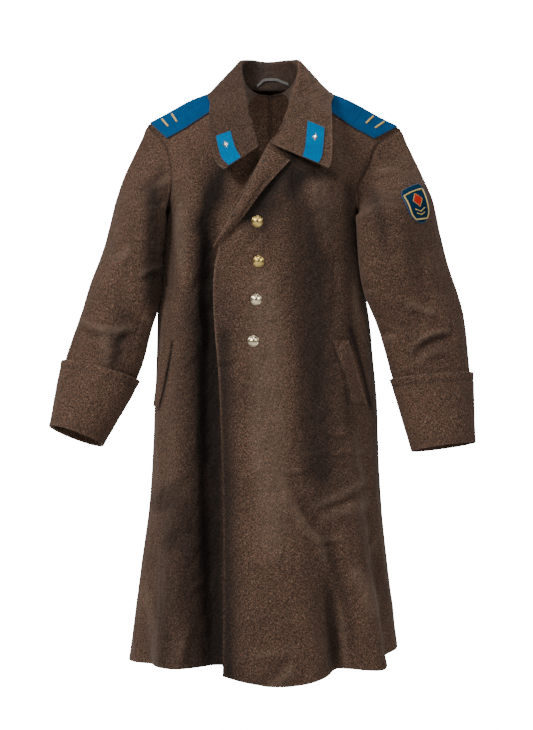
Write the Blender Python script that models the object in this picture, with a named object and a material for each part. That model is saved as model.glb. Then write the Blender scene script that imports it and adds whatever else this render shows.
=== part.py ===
"""A military greatcoat, filled out as if worn, with no wearer, in metres with +Z up.

The origin lies between the wearer's shoulders, level with the back neck seam. The front faces
-Y, and the wearer's left is +X. Every cloth panel is a wall lofted through sections of the same
garment, so that neighbouring panels meet 0.3 mm or more apart along their seams.
"""

import math
from collections import namedtuple

import bmesh
import bpy
from mathutils import Vector

MM = 0.001
CLOTH = 2.6 * MM
SEAM_PULL = 0.2 * MM
ARMHOLE_GAP = 0.7 * MM
TRIM_LIFT = 0.35 * MM
BOARD_THICKNESS = 3.0 * MM
TAB_THICKNESS = 1.8 * MM
TAB_LIFT = 0.8 * MM
TAB_ROWS, TAB_COLUMNS = 8, 4
WELT_THICKNESS = 1.8 * MM
WELT_LIFT = 0.85 * MM
HANGER_WIDTH = 8 * MM
HANGER_THICKNESS = 1.2 * MM
HANGER_LIFT = 0.98 * MM
HOOK_WIRE = 0.7 * MM
HOOK_LENGTH = 7 * MM
HOOK_WIDTH = 5 * MM
HOOK_RISE = 0.8 * MM
HOOK_LIFT = 1.3 * MM
HOOKS = (("upper", 1), ("lower", 6))

# Body
SIDE = {"right": -1, "left": 1}
LAYER = {"front_left": "left", "front_right": "right", "back_left": "back", "back_right": "back"}
CHEST_Z = -235 * MM
HEM_Z = -1090 * MM
SQUARENESS = 2.4
RIDGE_DROP = 0.435
NECK_HALF = 75 * MM
NECK_RIDGE_Z = 12 * MM
NAPE_Y = 66 * MM
YOKE_RISE = 0.5
OVERLAP_OUT = 5 * MM
OVERLAP_IN = -8 * MM
OVERLAP_FADE = 90 * MM
LOWER_ROWS = 17
HALF_SEAM = Vector((0, 0, 0.15)) * MM
UPPER_RISES = (0, 0.03, 0.1, 0.22, 0.35, 0.46, 0.58, 0.7, 0.82, 0.92, 1)
NECK_RISE = 0.46
FRONT_COLUMNS = 15
BACK_COLUMNS = 10

# Half sizes of the body at each height, in mm: to the wearer's right and left, front and back.
Section = namedtuple("Section", "z right left front back")
BODY_SECTIONS = (
    Section(-235, 205, 173, 150, 135),
    Section(-268, 210, 174, 149, 131),
    Section(-320, 215, 179, 147, 127),
    Section(-366, 217, 185, 145, 124),
    Section(-405, 218, 189, 145, 124),
    Section(-450, 219, 195, 146, 127),
    Section(-500, 220, 199, 150, 134),
    Section(-600, 224, 208, 159, 150),
    Section(-700, 228, 211, 167, 163),
    Section(-800, 235, 217, 174, 174),
    Section(-900, 248, 227, 181, 184),
    Section(-1000, 261, 239, 188, 193),
    Section(-1120, 277, 252, 194, 202),
)

# Fall of the shoulder, near the neck and near the armhole: how the depth of each face closes
# towards the ridge.
Slope = namedtuple("Slope", "bend sharpness")
FRONT_SLOPES = (Slope(1.8, 0.8), Slope(1.25, 1.05))
BACK_SLOPES = (Slope(2.2, 0.67), Slope(2.0, 0.75))
SLOPE_FROM, SLOPE_OVER = 85 * MM, 90 * MM

# Armhole edge and side of the shoulder above the chest line, in mm. rise is 0 at the chest line
# and 1 at the shoulder ridge; wide is the half width of the section that the armhole cuts.
ArmholeRow = namedtuple("ArmholeRow", "rise right left wide_right wide_left")
ARMHOLE_ROWS = (
    ArmholeRow(0.00, 205, 173, 205, 173),
    ArmholeRow(0.12, 195, 166, 207, 177),
    ArmholeRow(0.25, 189, 169, 210, 186),
    ArmholeRow(0.50, 193, 193, 222, 210),
    ArmholeRow(0.70, 204, 207, 235, 234),
    ArmholeRow(1.00, 239, 255, 266, 282),
)

# Inner edge of each front, from the hem up, as x in mm; rise is below 0 under the chest line.
EdgeRow = namedtuple("EdgeRow", "rise left right")
LOWER_EDGE = (
    EdgeRow(-1.00, -84, 44),
    EdgeRow(-0.70, -84, 40),
    EdgeRow(-0.40, -92, 34),
    EdgeRow(-0.15, -103, 24),
    EdgeRow(0.00, -70, 12),
)
UPPER_EDGE = (
    EdgeRow(0.00, -70, 12),
    EdgeRow(0.46, 0, -21),
    EdgeRow(0.50, 9, -26),
    EdgeRow(0.66, 40, -45),
    EdgeRow(0.82, 63, -65),
    EdgeRow(1.00, 75, -75),
)

# Height of the hem against the angle round the body, in mm: 0 is the front, 90 the side.
HemRow = namedtuple("HemRow", "angle left right")
HEM_ROWS = (
    HemRow(-16, -1094, -1086),
    HemRow(0, -1112, -1086),
    HemRow(10, -1110, -1086),
    HemRow(20, -1101, -1087),
    HemRow(31, -1092, -1089),
    HemRow(50, -1095, -1088),
    HemRow(62, -1083, -1090),
    HemRow(78, -1072, -1093),
    HemRow(90, -1070, -1094),
    HemRow(180, -1086, -1086),
)

# Folds of the body, in mm and degrees. A fold runs from its top to its foot, with its own depth
# at each (out is positive), and it fades away over the length above its top.
Fold = namedtuple("Fold", "layer top_angle top_z foot_angle foot_z top_depth foot_depth width fade")
BODY_FOLDS = (
    Fold("left", -24, -300, -14, -1120, 4, 8, 20, 120),
    Fold("left", 17, -760, 31, -1120, 0, -40, 9, 120),
    Fold("left", 6, -640, 8, -1120, 0, 16, 16, 200),
    Fold("left", 40, -700, 51, -1120, 0, 16, 9, 150),
    Fold("left", 52, -560, 68, -1120, -4, -16, 8, 100),
    Fold("left", 24, -250, 34, -640, 4, 6, 12, 100),
    Fold("right", -29, -150, -21, -1120, -26, -32, 9, 90),
    Fold("right", -12, -200, -5, -1120, -12, -24, 16, 120),
    Fold("right", 10, -200, 8, -1120, -10, -14, 16, 120),
    Fold("right", -43, -280, -39, -1120, 6, 14, 10, 200),
    Fold("right", -62, -760, -56, -1120, 0, -14, 9, 160),
    Fold("back", 180, -380, 180, -1120, -4, -24, 8, 160),
    Fold("back", 160, -460, 158, -1120, 3, 20, 9, 160),
    Fold("back", 137, -520, 135, -1120, -4, -30, 8, 160),
    Fold("back", 115, -560, 112, -1120, 2, 17, 8, 160),
    Fold("back", -161, -440, -159, -1120, 3, 22, 9, 160),
    Fold("back", -140, -560, -136, -1120, -3, -26, 8, 160),
    Fold("back", -118, -500, -115, -1120, 2, 15, 8, 160),
)

# Sleeves, in mm, from the first whole ring down to the hem: centre, long and short half sizes,
# the way that the long one points (0 at the body, 90 at the front) and how much the ring's
# inner side falls for each mm across.
SleeveRow = namedtuple("SleeveRow", "x y z long short yaw slope")
SLEEVE_ROWS = {
    "right": (
        SleeveRow(255, -35, -244, 82, 45, 66, 0.33),
        SleeveRow(270, -34, -325, 78, 47, 55, 0.28),
        SleeveRow(293, -38, -424, 74, 55, 25, 0.28),
        SleeveRow(326, -52, -532, 77, 47, 15, 0.28),
        SleeveRow(371, -82, -660, 54, 50, 0, 0.36),
    ),
    "left": (
        SleeveRow(242, -58, -240, 93, 57, 42, 0.13),
        SleeveRow(259, -50, -343, 97, 56, 34, 0.12),
        SleeveRow(289, -40, -438, 89, 52, 20, 0.12),
        SleeveRow(310, -48, -547, 77, 47, 15, 0.10),
        SleeveRow(330, -66, -677, 59, 48, 8, 0.14),
    ),
}
KeyedSleeveRow = namedtuple("KeyedSleeveRow", ("at",) + SleeveRow._fields)
UNDER_BACK, UNDER_FRONT = 4, 2
CROWN_RINGS = 6
ARM_RINGS = 6
CUFF_RINGS = 4
ARM_LAST = 4
CROWN_LEAVE = 0.4
RIM_TURN_FROM, RIM_TURN_OVER = 1.0, 1.2
CUFF_LENGTH = 132 * MM
CUFF_STAND = 3 * MM
CUFF_GAP = 0.8 * MM
CUFF_OVERHANG = 1.5 * MM

# Collar, in mm, from its right end round the back of the neck to its left end: the fold at its
# top and the free edge that lies over the coat. The seam comes from the neckline.
CollarRow = namedtuple("CollarRow", "share fold_x fold_y fold_z edge_x edge_y edge_z roll")
COLLAR_ROWS = (
    CollarRow(0.00, -22, -136, -118, -86, -154, -163, 4.0),
    CollarRow(0.09, -29, -126, -90, -103, -140, -143, 5.0),
    CollarRow(0.20, -38, -96, -56, -115, -108, -82, 5.5),
    CollarRow(0.32, -47, -52, 6, -115, -58, -28, 5.5),
    CollarRow(0.40, -51, 0, 60, -113, 4, 4, 5.5),
    CollarRow(0.50, 0, 68, 77, 0, 114, -6, 5.5),
    CollarRow(0.60, 52, 0, 60, 115, 4, 4, 5.5),
    CollarRow(0.68, 44, -52, 2, 117, -58, -28, 5.5),
    CollarRow(0.80, 27, -96, -56, 117, -110, -82, 5.5),
    CollarRow(0.91, 15, -126, -90, 115, -138, -140, 5.0),
    CollarRow(1.00, 5, -140, -114, 109, -150, -160, 4.0),
)
COLLAR_STATIONS = 38
STAND_STEPS, ROLL_STEPS, FALL_STEPS = 3, 4, 5
FALL_BOW = 2 * MM
COLLAR_GAP = 0.8 * MM

# Blue tabs on the fall of the collar: a share along it and one from fold to edge, per corner.
TabCorner = namedtuple("TabCorner", "side share fall")
COLLAR_TABS = (
    TabCorner("right", 0.175, 0.47),
    TabCorner("right", 0.165, 0.85),
    TabCorner("right", 0.008, 0.50),
    TabCorner("right", 0.008, 0.84),
    TabCorner("left", 0.80, 0.44),
    TabCorner("left", 0.82, 0.84),
    TabCorner("left", 0.992, 0.50),
    TabCorner("left", 0.992, 0.82),
)

# Shoulder boards, in mm: from the collar to the armhole, and down the front from the ridge.
BOARD_LINES = (-9, -4, 0, 6, 14, 24, 34, 44, 55)
BoardEnd = namedtuple("BoardEnd", "side inner_x outer_x_back outer_x_front")
BOARD_ENDS = (BoardEnd("right", 110, 232, 198), BoardEnd("left", 112, 247, 200))
BOARD_LIFT = 0.7 * MM
SHOULDER_STEP = 0.004

# Turned-back edge of the left front, in mm, from the collar down: its roll, its free edge and
# how far it stands off the coat between them.
FacingRow = namedtuple("FacingRow", "share roll_x roll_z free_x free_z stand")
FACING_ROWS = (
    FacingRow(0.00, -8, -121, 37, -144, 7),
    FacingRow(0.33, -38, -186, -11, -199, 10),
    FacingRow(0.66, -72, -250, -46, -248, 10),
    FacingRow(0.85, -89, -282, -70, -276, 7),
    FacingRow(1.00, -103, -306, -93, -300, 2),
)
FACING_STANDS = (0.04, 0.75, 1.0, 0.85, 0.5, 0.2)

# Buttons on the left front, in mm.
BUTTONS = ((-24, -260), (-21.5, -334), (-26, -405), (-31, -482))
BUTTON_PROFILE = ((7.5, 0), (10.2, 1.2), (11, 2.2), (10.4, 3.0), (9.2, 2.9), (6, 4.8), (2.2, 5.6))

# Pocket welts: angle and height of the inner edge's two ends, then the width in degrees.
Welt = namedtuple("Welt", "side top_angle top_z foot_angle foot_z top_wide foot_wide")
WELTS = (
    Welt("left", 31, -480, 44, -600, 12, 15),
    Welt("right", -54, -484, -68, -606, -11, -12),
)

# Sleeve patch: its middle and half sizes as runs down and shares round the left sleeve.
PATCH_RUN, PATCH_TURN = 0.93, 0.39
PATCH_DOWN, PATCH_ROUND = 0.26, 0.082
PATCH_WIDTHS = (0.86, 1.0, 1.0, 0.98, 0.9, 0.74, 0.48, 0.18)

# Hanger loop inside the back of the collar: shares along it and up its stand.
HANGER = ((0.462, 0.08), (0.47, 0.16), (0.48, 0.24), (0.509, 0.25), (0.521, 0.19), (0.533, 0.15))

# Profile of the plain device on each collar tab, in mm.
DEVICE_PROFILE = ((4.2, 0), (4.6, 0.8), (2.6, 1.6))

# Name, colour, roughness and metallic.
MATERIALS = (
    ("greatcoat_cloth", (0.105, 0.070, 0.052), 0.95, 0.0),
    ("blue_facing_cloth", (0.006, 0.160, 0.420), 0.9, 0.0),
    ("gilt_brass", (0.72, 0.56, 0.26), 0.3, 1.0),
    ("white_metal", (0.80, 0.80, 0.78), 0.3, 1.0),
    ("dark_steel", (0.10, 0.09, 0.08), 0.4, 1.0),
    ("grey_tape", (0.150, 0.140, 0.120), 0.85, 0.0),
)


def clamp(value, low=0.0, high=1.0):
    return max(low, min(high, value))


def mix(start, end, share):
    return start + (end - start) * share


def ease(share):
    """0 to 1 with a level start and end."""
    share = clamp(share)
    return share * share * (3 - 2 * share)


def read(rows, column, at, key=0):
    """A column of a table at a value of its key column, on a smooth curve through the rows."""
    keys = [row[key] for row in rows]
    values = [getattr(row, column) for row in rows]
    if keys[0] > keys[-1]:
        keys, values = keys[::-1], values[::-1]
    at = clamp(at, keys[0], keys[-1])
    i = max(k for k in range(len(keys) - 1) if keys[k] <= at)
    step = keys[i + 1] - keys[i]
    share = (at - keys[i]) / step

    def slope(k):
        low, high = max(k - 1, 0), min(k + 1, len(keys) - 1)
        return (values[high] - values[low]) / (keys[high] - keys[low])

    bend = step * share * (1 - share)
    eased = mix(values[i], values[i + 1], ease(share))
    return eased + bend * ((1 - share) * slope(i) - share * slope(i + 1))


def signed_power(value, power):
    return math.copysign(abs(value) ** power, value)


def angle_at(x, half_width):
    """The angle round a section, in radians, at which it is x from the middle."""
    share = clamp(abs(x) / half_width)
    return math.copysign(math.asin(share ** (SQUARENESS / 2)), x)


def side_of(x):
    return "left" if x >= 0 else "right"


def facing_out(normal, point):
    """The normal turned to point away from the inside of the coat."""
    guide = Vector((point.x, point.y * 1.4, 40 * MM))
    return normal if normal.dot(guide) > 0 else -normal


# The body's shape
def ridge_height(x):
    return NECK_RIDGE_Z - RIDGE_DROP * (abs(x) - NECK_HALF)


def half_width(side, rise):
    if rise > 0:
        return read(ARMHOLE_ROWS, "wide_" + side, rise) * MM
    return read(BODY_SECTIONS, side, mix(CHEST_Z, HEM_Z, -rise) / MM) * MM


def fold_depth(layer, angle, z):
    """How far the folds of one layer move its cloth out."""
    total = 0.0
    degrees, height = math.degrees(angle), z / MM
    for fold in BODY_FOLDS:
        if fold.layer != layer:
            continue
        run = clamp((fold.top_z - height) / (fold.top_z - fold.foot_z))
        away = degrees - mix(fold.top_angle, fold.foot_angle, run)
        if layer == "back":
            away = (away + 180) % 360 - 180
        depth = mix(fold.top_depth, fold.foot_depth, run)
        depth *= ease((fold.top_z + fold.fade - height) / fold.fade)
        total += depth * math.exp(-((away / fold.width) ** 2))
    from_seam = abs(abs(degrees) - 90) - 2
    return total * MM * ease(from_seam / 12)


def overlap_step(layer, x):
    """Sets the overlapping front out and the front below it in."""
    if layer == "left":
        return OVERLAP_OUT * ease((OVERLAP_FADE - x) / OVERLAP_FADE)
    if layer == "right":
        return OVERLAP_IN * ease((x + 1.6 * OVERLAP_FADE) / OVERLAP_FADE)
    return 0.0


def shoulder_share(face, x, rise):
    """How much of the chest's depth is left at a rise towards the ridge."""
    near, far = FRONT_SLOPES if face == "front" else BACK_SLOPES
    way = ease((abs(x) - SLOPE_FROM) / SLOPE_OVER)
    closed = min(rise, 1) ** mix(near.bend, far.bend, way)
    return (1 - closed) ** mix(near.sharpness, far.sharpness, way)


def hem_height(layer, angle):
    degrees = math.degrees(angle)
    if layer == "left":
        return read(HEM_ROWS, "left", degrees) * MM
    return read(HEM_ROWS, "right" if layer == "right" else side_of(angle), abs(degrees)) * MM


def body_point(layer, angle, rise):
    """A point of the body's outer face. angle runs from the front (0) to the wearer's left
    (+90) and right (-90); rise is -1 at the hem, 0 at the chest line and 1 at the ridge."""
    side = side_of(angle)
    across, along = math.sin(angle), math.cos(angle)
    face = "front" if along >= 0 else "back"
    if rise <= 0:
        z = mix(CHEST_Z, hem_height(layer, angle), -rise)
        half = read(BODY_SECTIONS, side, z / MM) * MM
        depth = read(BODY_SECTIONS, face, z / MM) * MM
        x = half * signed_power(across, 2 / SQUARENESS)
    else:
        x = half_width(side, rise) * signed_power(across, 2 / SQUARENESS)
        z = mix(CHEST_Z, ridge_height(x), rise)
        depth = getattr(BODY_SECTIONS[0], face) * MM * shoulder_share(face, x, rise)
    y = -depth * signed_power(along, 2 / SQUARENESS)
    out = Vector((across, -along, 0)).normalized()
    moved = fold_depth(layer, angle, z) + overlap_step(layer, x)
    return Vector((x, y, z)) + out * moved * clamp(1.6 * abs(depth) / (130 * MM))


def edge_angle(panel, rise):
    """The angle of a panel's inner edge: the leading edge of a front, or the centre back."""
    part, side = panel.split("_")
    if part == "back":
        return math.pi * SIDE[side]
    x = read(LOWER_EDGE if rise <= 0 else UPPER_EDGE, side, rise) * MM
    return angle_at(x, half_width(side_of(x), rise))


def side_angle(panel, rise):
    """The angle of a panel's outer edge: its side seam, and above it the armhole."""
    part, side = panel.split("_")
    angle = math.pi / 2
    if rise > 0:
        angle = angle_at(read(ARMHOLE_ROWS, side, rise) * MM, half_width(side, rise))
        if part == "back":
            angle = math.pi - angle
    return angle * SIDE[side]


def panel_point(panel, share, rise):
    """share is 0 at the side seam or armhole and 1 at the panel's inner edge."""
    layer = LAYER[panel]
    angle = mix(side_angle(panel, rise), edge_angle(panel, rise), share)
    point = body_point(layer, angle, rise)
    if layer != "back" or rise <= YOKE_RISE:
        return point
    neck_share = clamp(1 - abs(point.x) / NECK_HALF)
    nape = Vector((point.x, NAPE_Y * math.sin(neck_share * math.pi / 2), NECK_RIDGE_Z))
    below = body_point(layer, angle, YOKE_RISE)
    climb = (rise - YOKE_RISE) / (1 - YOKE_RISE)
    yoke = Vector((point.x, mix(below.y, nape.y, climb**2), mix(below.z, nape.z, climb)))
    return point.lerp(yoke, ease(neck_share * 3))


def wall_points(panel, share, rise):
    """The outer and inner points of a panel's wall."""
    point = panel_point(panel, share, rise)
    if rise == 1 and abs(point.x) > NECK_HALF:
        normal = Vector((math.copysign(RIDGE_DROP, point.x), 0, 1)).normalized()
    else:
        step = 1e-3
        low, high = max(rise - step, -1), min(rise + step, 1)
        up = panel_point(panel, share, high) - panel_point(panel, share, low)
        start, end = max(share - step, 0), min(share + step, 1)
        across = panel_point(panel, end, rise) - panel_point(panel, start, rise)
        normal = facing_out(across.cross(up).normalized(), point)
    return point, point - normal * CLOTH


def coat_point(layer, x, z):
    """The outer face of a front at a place in the front view, in mm."""
    x, z = x * MM, z * MM
    rise = (z - CHEST_Z) / (ridge_height(x) - CHEST_Z)
    if rise > 0:
        return body_point(layer, angle_at(x, half_width(side_of(x), rise)), rise)
    half = read(BODY_SECTIONS, side_of(x), z / MM) * MM
    return lower_point(layer, angle_at(x, half), z)


def lower_point(layer, angle, z):
    """The outer face below the chest line, at an angle in radians and a height in metres."""
    return body_point(layer, angle, (z - CHEST_Z) / (CHEST_Z - hem_height(layer, angle)))


# Walls and pieces
def make_material(label, colour, roughness, metallic):
    material = bpy.data.materials.new(label)
    material.use_nodes = True
    shader = material.node_tree.nodes["Principled BSDF"]
    shader.inputs["Base Color"].default_value = (*colour, 1)
    shader.inputs["Roughness"].default_value = roughness
    shader.inputs["Metallic"].default_value = metallic
    return material


def finish_mesh(name, mesh, material):
    bmesh.ops.recalc_face_normals(mesh, faces=mesh.faces)
    data = bpy.data.meshes.new(name)
    mesh.to_mesh(data)
    mesh.free()
    data.shade_smooth()
    data.set_sharp_from_angle(angle=math.radians(50))
    data.materials.append(material)
    COAT.objects.link(bpy.data.objects.new(name, data))


def grid_wall(name, outer, inner, material, ring=False):
    """A closed wall between two grids of points with the same rows and columns."""
    rows, columns = len(outer), len(outer[0])
    mesh = bmesh.new()
    out, back = ([[mesh.verts.new(p) for p in row] for row in grid] for grid in (outer, inner))
    for j in range(columns if ring else columns - 1):
        k = (j + 1) % columns
        for verts in (out, back):
            for one, two in zip(verts, verts[1:]):
                mesh.faces.new((one[j], one[k], two[k], two[j]))
        for i in (0, rows - 1):
            mesh.faces.new((out[i][j], out[i][k], back[i][k], back[i][j]))
    if not ring:
        for i in range(rows - 1):
            for j in (0, columns - 1):
                mesh.faces.new((out[i][j], out[i + 1][j], back[i + 1][j], back[i][j]))
    finish_mesh(name, mesh, material)


def grid_normals(grid, outward=facing_out):
    """Normals of a grid of points, turned outward."""
    rows, columns = len(grid), len(grid[0])
    found = []
    for i in range(rows):
        line = []
        for j in range(columns):
            across = grid[min(i + 1, rows - 1)][j] - grid[max(i - 1, 0)][j]
            along = grid[i][min(j + 1, columns - 1)] - grid[i][max(j - 1, 0)]
            line.append(outward(along.cross(across).normalized(), grid[i][j]))
        found.append(line)
    return found


def moved_out(grid, normals, distance):
    return [[p + n * distance for p, n in zip(row, line)] for row, line in zip(grid, normals)]


def laid_on(name, grid, thickness, material, lift=TRIM_LIFT, outward=facing_out):
    """A thin piece on the cloth, from points of the cloth itself."""
    normals = grid_normals(grid, outward)
    outer = moved_out(grid, normals, lift + thickness)
    grid_wall(name, outer, moved_out(grid, normals, lift), material)


def spun(name, centre, normal, profile, material, sides=16):
    """A round piece from (radius, height) rows in mm, with a flat base and a flat top."""
    mesh = bmesh.new()
    first = normal.orthogonal().normalized()
    second = normal.cross(first)
    rings = []
    for radius, height in profile:
        ring = []
        for k in range(sides):
            turn = 2 * math.pi * k / sides
            reach = (first * math.cos(turn) + second * math.sin(turn)) * radius * MM
            ring.append(mesh.verts.new(centre + normal * height * MM + reach))
        rings.append(ring)
    for one, two in zip(rings, rings[1:]):
        for k in range(sides):
            j = (k + 1) % sides
            mesh.faces.new((one[k], one[j], two[j], two[k]))
    mesh.faces.new(rings[0])
    mesh.faces.new(rings[-1])
    finish_mesh(name, mesh, material)


def wire(name, points, material, radius):
    """A bent wire with closed ends."""
    curve = bpy.data.curves.new(name, "CURVE")
    curve.dimensions = "3D"
    curve.bevel_depth = radius
    curve.bevel_resolution = 1
    curve.use_fill_caps = True
    line = curve.splines.new("POLY")
    line.points.add(len(points) - 1)
    for spot, point in zip(line.points, points):
        spot.co = (*point, 1)
    curve.materials.append(material)
    COAT.objects.link(bpy.data.objects.new(name, curve))


# Body panels
def panel_rises():
    """Row heights of every body panel, from the hem to the ridge."""
    return [-1 + k / LOWER_ROWS for k in range(LOWER_ROWS)] + list(UPPER_RISES)


def panel_shares(panel):
    """Columns of a panel, closer together towards the overlap of the fronts."""
    if LAYER[panel] == "back":
        return [j / BACK_COLUMNS for j in range(BACK_COLUMNS + 1)]
    return [1 - (1 - j / FRONT_COLUMNS) ** 1.2 for j in range(FRONT_COLUMNS + 1)]


def make_panel(panel, material):
    """A front or back panel, as two walls that meet at the height of the underarm."""
    part, side = panel.split("_")
    shares = panel_shares(panel)
    pairs = [[wall_points(panel, share, rise) for share in shares] for rise in panel_rises()]
    apart = Vector((0, -SEAM_PULL if part == "front" else SEAM_PULL, 0))
    for row in pairs:
        row[0] = tuple(point + apart for point in row[0])
        if part == "back":
            from_middle = Vector((SIDE[side] * SEAM_PULL, 0, 0))
            row[-1] = tuple(point + from_middle for point in row[-1])
    pairs[-1][1:] = [tuple(point + apart for point in pair) for pair in pairs[-1][1:]]
    armpit = panel_rises().index(0)
    skirt, upper = pairs[: armpit + 1], pairs[armpit:]
    skirt[-1] = [tuple(point - HALF_SEAM for point in pair) for pair in pairs[armpit]]
    upper[0] = [tuple(point + HALF_SEAM for point in pair) for pair in pairs[armpit]]
    for label, rows in (("skirt", skirt), ("upper", upper)):
        outer, inner = ([[pair[k] for pair in row] for row in rows] for k in (0, 1))
        grid_wall(f"{panel}_{label}", outer, inner, material)


# Sleeves
def armhole(side, part):
    """One half of the armhole, as outer and inner points from the underarm up."""
    return [wall_points(f"{part}_{side}", 0, rise) for rise in UPPER_RISES]


def sleeve_turns(holes):
    """Turns of the sleeve's columns, one for each point of the armhole, from its back seam
    round under the arm and back to it."""
    front, back = ([share / 2 for share in shares_along(hole)] for hole in holes)
    under = [-turn for turn in back[UNDER_BACK:0:-1]] + front
    return under + [1 - turn for turn in back[-2 : UNDER_BACK - 1 : -1]]


def arm_places(side):
    """Places of the sleeve's rings: even above the cuff, and those of the cuff."""
    start = cuff_start(side)
    above = [start * k / ARM_RINGS for k in range(ARM_RINGS)]
    return above + [mix(start, ARM_LAST, k / CUFF_RINGS) for k in range(CUFF_RINGS + 1)]


def cuff_start(side):
    length = (arm_centre(side, ARM_LAST) - arm_centre(side, ARM_LAST - 1)).length
    return ARM_LAST - CUFF_LENGTH / length


def shares_along(path):
    lengths = [0.0]
    for one, two in zip(path, path[1:]):
        lengths.append(lengths[-1] + (two[0] - one[0]).length)
    return [length / lengths[-1] for length in lengths]


def along(path, share):
    """The pair of points at a share of a path's length."""
    shares, share = shares_along(path), clamp(share)
    k = max(n for n in range(len(path) - 1) if shares[n] <= share)
    local = (share - shares[k]) / (shares[k + 1] - shares[k])
    return tuple(a.lerp(b, local) for a, b in zip(path[k], path[k + 1]))


def arm_row(side, at):
    """The sleeve's table at a place between its rows; at is 0 at the first whole ring."""
    rows = [KeyedSleeveRow(k, *row) for k, row in enumerate(SLEEVE_ROWS[side])]
    return SleeveRow(*(read(rows, column, at) for column in SleeveRow._fields))


def arm_centre(side, at):
    row = arm_row(side, at)
    return Vector((SIDE[side] * row.x, row.y, row.z)) * MM


def arm_axes(side, at):
    """The ring's outward and forward directions, and the way down the sleeve."""
    below, above = min(at + 0.1, ARM_LAST), max(at - 0.1, 0)
    axis = (arm_centre(side, below) - arm_centre(side, above)).normalized()
    out = Vector((SIDE[side], 0, arm_row(side, at).slope)).normalized()
    forward = out.cross(axis).normalized()
    return out, -forward if forward.y > 0 else forward, axis


def arm_point(side, at, turn, extra=0.0):
    """turn is 0 at the body, a quarter at the front and a half at the outer side."""
    row = arm_row(side, at)
    out, forward, _ = arm_axes(side, at)
    angle = 2 * math.pi * turn
    away = angle - math.radians(row.yaw)
    long, short = row.long * MM + extra, row.short * MM + extra
    radius = 1 / math.hypot(math.cos(away) / long, math.sin(away) / short)
    return arm_centre(side, at) + (forward * math.sin(angle) - out * math.cos(angle)) * radius


def crown_pair(side, share, turn, holes):
    """Outer and inner points between the armhole (share 0) and the first ring (share 1)."""
    half = turn % 1 * 2
    start, lining = along(holes[0], half) if half <= 1 else along(holes[1], 2 - half)
    end = arm_point(side, 0, turn)
    height = (1 - math.cos(2 * math.pi * turn)) / 2
    leave = Vector((SIDE[side] * mix(0.1, CROWN_LEAVE, height), 0, -1)).normalized()
    off_armhole = Vector((SIDE[side], 0, mix(-1, -0.4, height))).normalized() * ARMHOLE_GAP
    start, lining = start + off_armhole, lining + off_armhole
    reach = (end - start).length
    eased = ease(share)
    bend = share * (1 - share) * reach
    point = start.lerp(end, eased)
    point += (leave * (1 - share) - arm_axes(side, 0)[2] * share) * bend
    return point, lining + point - start


def sleeve_point(side, run, turn):
    """The sleeve's outer face: run is 0 at the armhole and 1 at the first whole ring."""
    if run >= 1:
        return arm_point(side, run - 1, turn)
    return crown_pair(side, run, turn, [armhole(side, part) for part in ("front", "back")])[0]


def from_arm(side):
    """Turns a normal away from the middle of the sleeve."""

    def outward(normal, point):
        first = arm_centre(side, 0)
        drop = clamp((first.z - point.z) / (first.z - arm_centre(side, ARM_LAST).z))
        middle = arm_centre(side, drop * ARM_LAST)
        return normal if normal.dot(point - middle) > 0 else -normal

    return outward


def make_sleeve(side, material):
    """A top sleeve and an under sleeve, from the armhole to the sleeve's hem."""
    holes = [armhole(side, part) for part in ("front", "back")]
    turns = sleeve_turns(holes)
    outer = []
    for k in range(CROWN_RINGS):
        outer.append([crown_pair(side, k / CROWN_RINGS, turn, holes)[0] for turn in turns])
    for at in arm_places(side):
        outer.append([arm_point(side, at, turn) for turn in turns])
    normals = closed_normals(outer)
    inner = moved_out(outer, normals, -CLOTH)
    for j, turn in enumerate(turns):
        start, lining = crown_pair(side, 0, turn, holes)
        inner[0][j] = start + rim_way(lining - start, -normals[0][j]) * CLOTH
    split = UNDER_BACK + UNDER_FRONT
    for label, low, high in (("under", 0, split), ("top", split, len(turns) - 1)):
        pieces = []
        for grid in (outer, inner):
            piece = []
            for row in grid:
                line = list(row[low : high + 1])
                line[0] = line[0] + (row[low + 1] - row[low]).normalized() * SEAM_PULL
                line[-1] = line[-1] + (row[high - 1] - row[high]).normalized() * SEAM_PULL
                piece.append(line)
            pieces.append(piece)
        grid_wall(f"sleeve_{side}_{label}", *pieces, material)


def rim_way(body_way, own_way):
    """Which way the sleeve's top rim goes through the cloth: as the armhole's rim does where the
    two walls run on, and over it to the sleeve's own inside where they fold back on each other."""
    share = ease((body_way.angle(own_way) - RIM_TURN_FROM) / RIM_TURN_OVER)
    over = Vector((0, 0, 2 * share * (1 - share)))
    return (body_way.normalized() * (1 - share) + own_way * share + over).normalized()


def closed_normals(rings):
    """Outward normals of rings whose last column repeats the first."""
    found = []
    for k, ring in enumerate(rings):
        above, below = rings[max(k - 1, 0)], rings[min(k + 1, len(rings) - 1)]
        middle = sum(ring[:-1], Vector()) / (len(ring) - 1)
        line = []
        for j in range(len(ring) - 1):
            around = ring[j + 1] - ring[j - 1 if j else -2]
            normal = around.cross(below[j] - above[j]).normalized()
            line.append(normal if normal.dot(ring[j] - middle) > 0 else -normal)
        found.append([*line, line[0]])
    return found


def make_cuff(side, material):
    """The applied cuff: a band round the sleeve's end that stands proud at its top edge."""
    outer, inner = [], []
    turns = sleeve_turns([armhole(side, part) for part in ("front", "back")])[:-1]
    for k in range(CUFF_RINGS + 1):
        at = mix(cuff_start(side), ARM_LAST, k / CUFF_RINGS)
        stand = CUFF_GAP + CUFF_STAND * (1 - k / CUFF_RINGS) ** 2
        drop = arm_axes(side, at)[2] * CUFF_OVERHANG * k / CUFF_RINGS
        inner.append([arm_point(side, at, turn, stand) + drop for turn in turns])
        outer.append([arm_point(side, at, turn, stand + CLOTH) + drop for turn in turns])
    grid_wall(f"cuff_{side}", outer, inner, material, ring=True)


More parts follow.
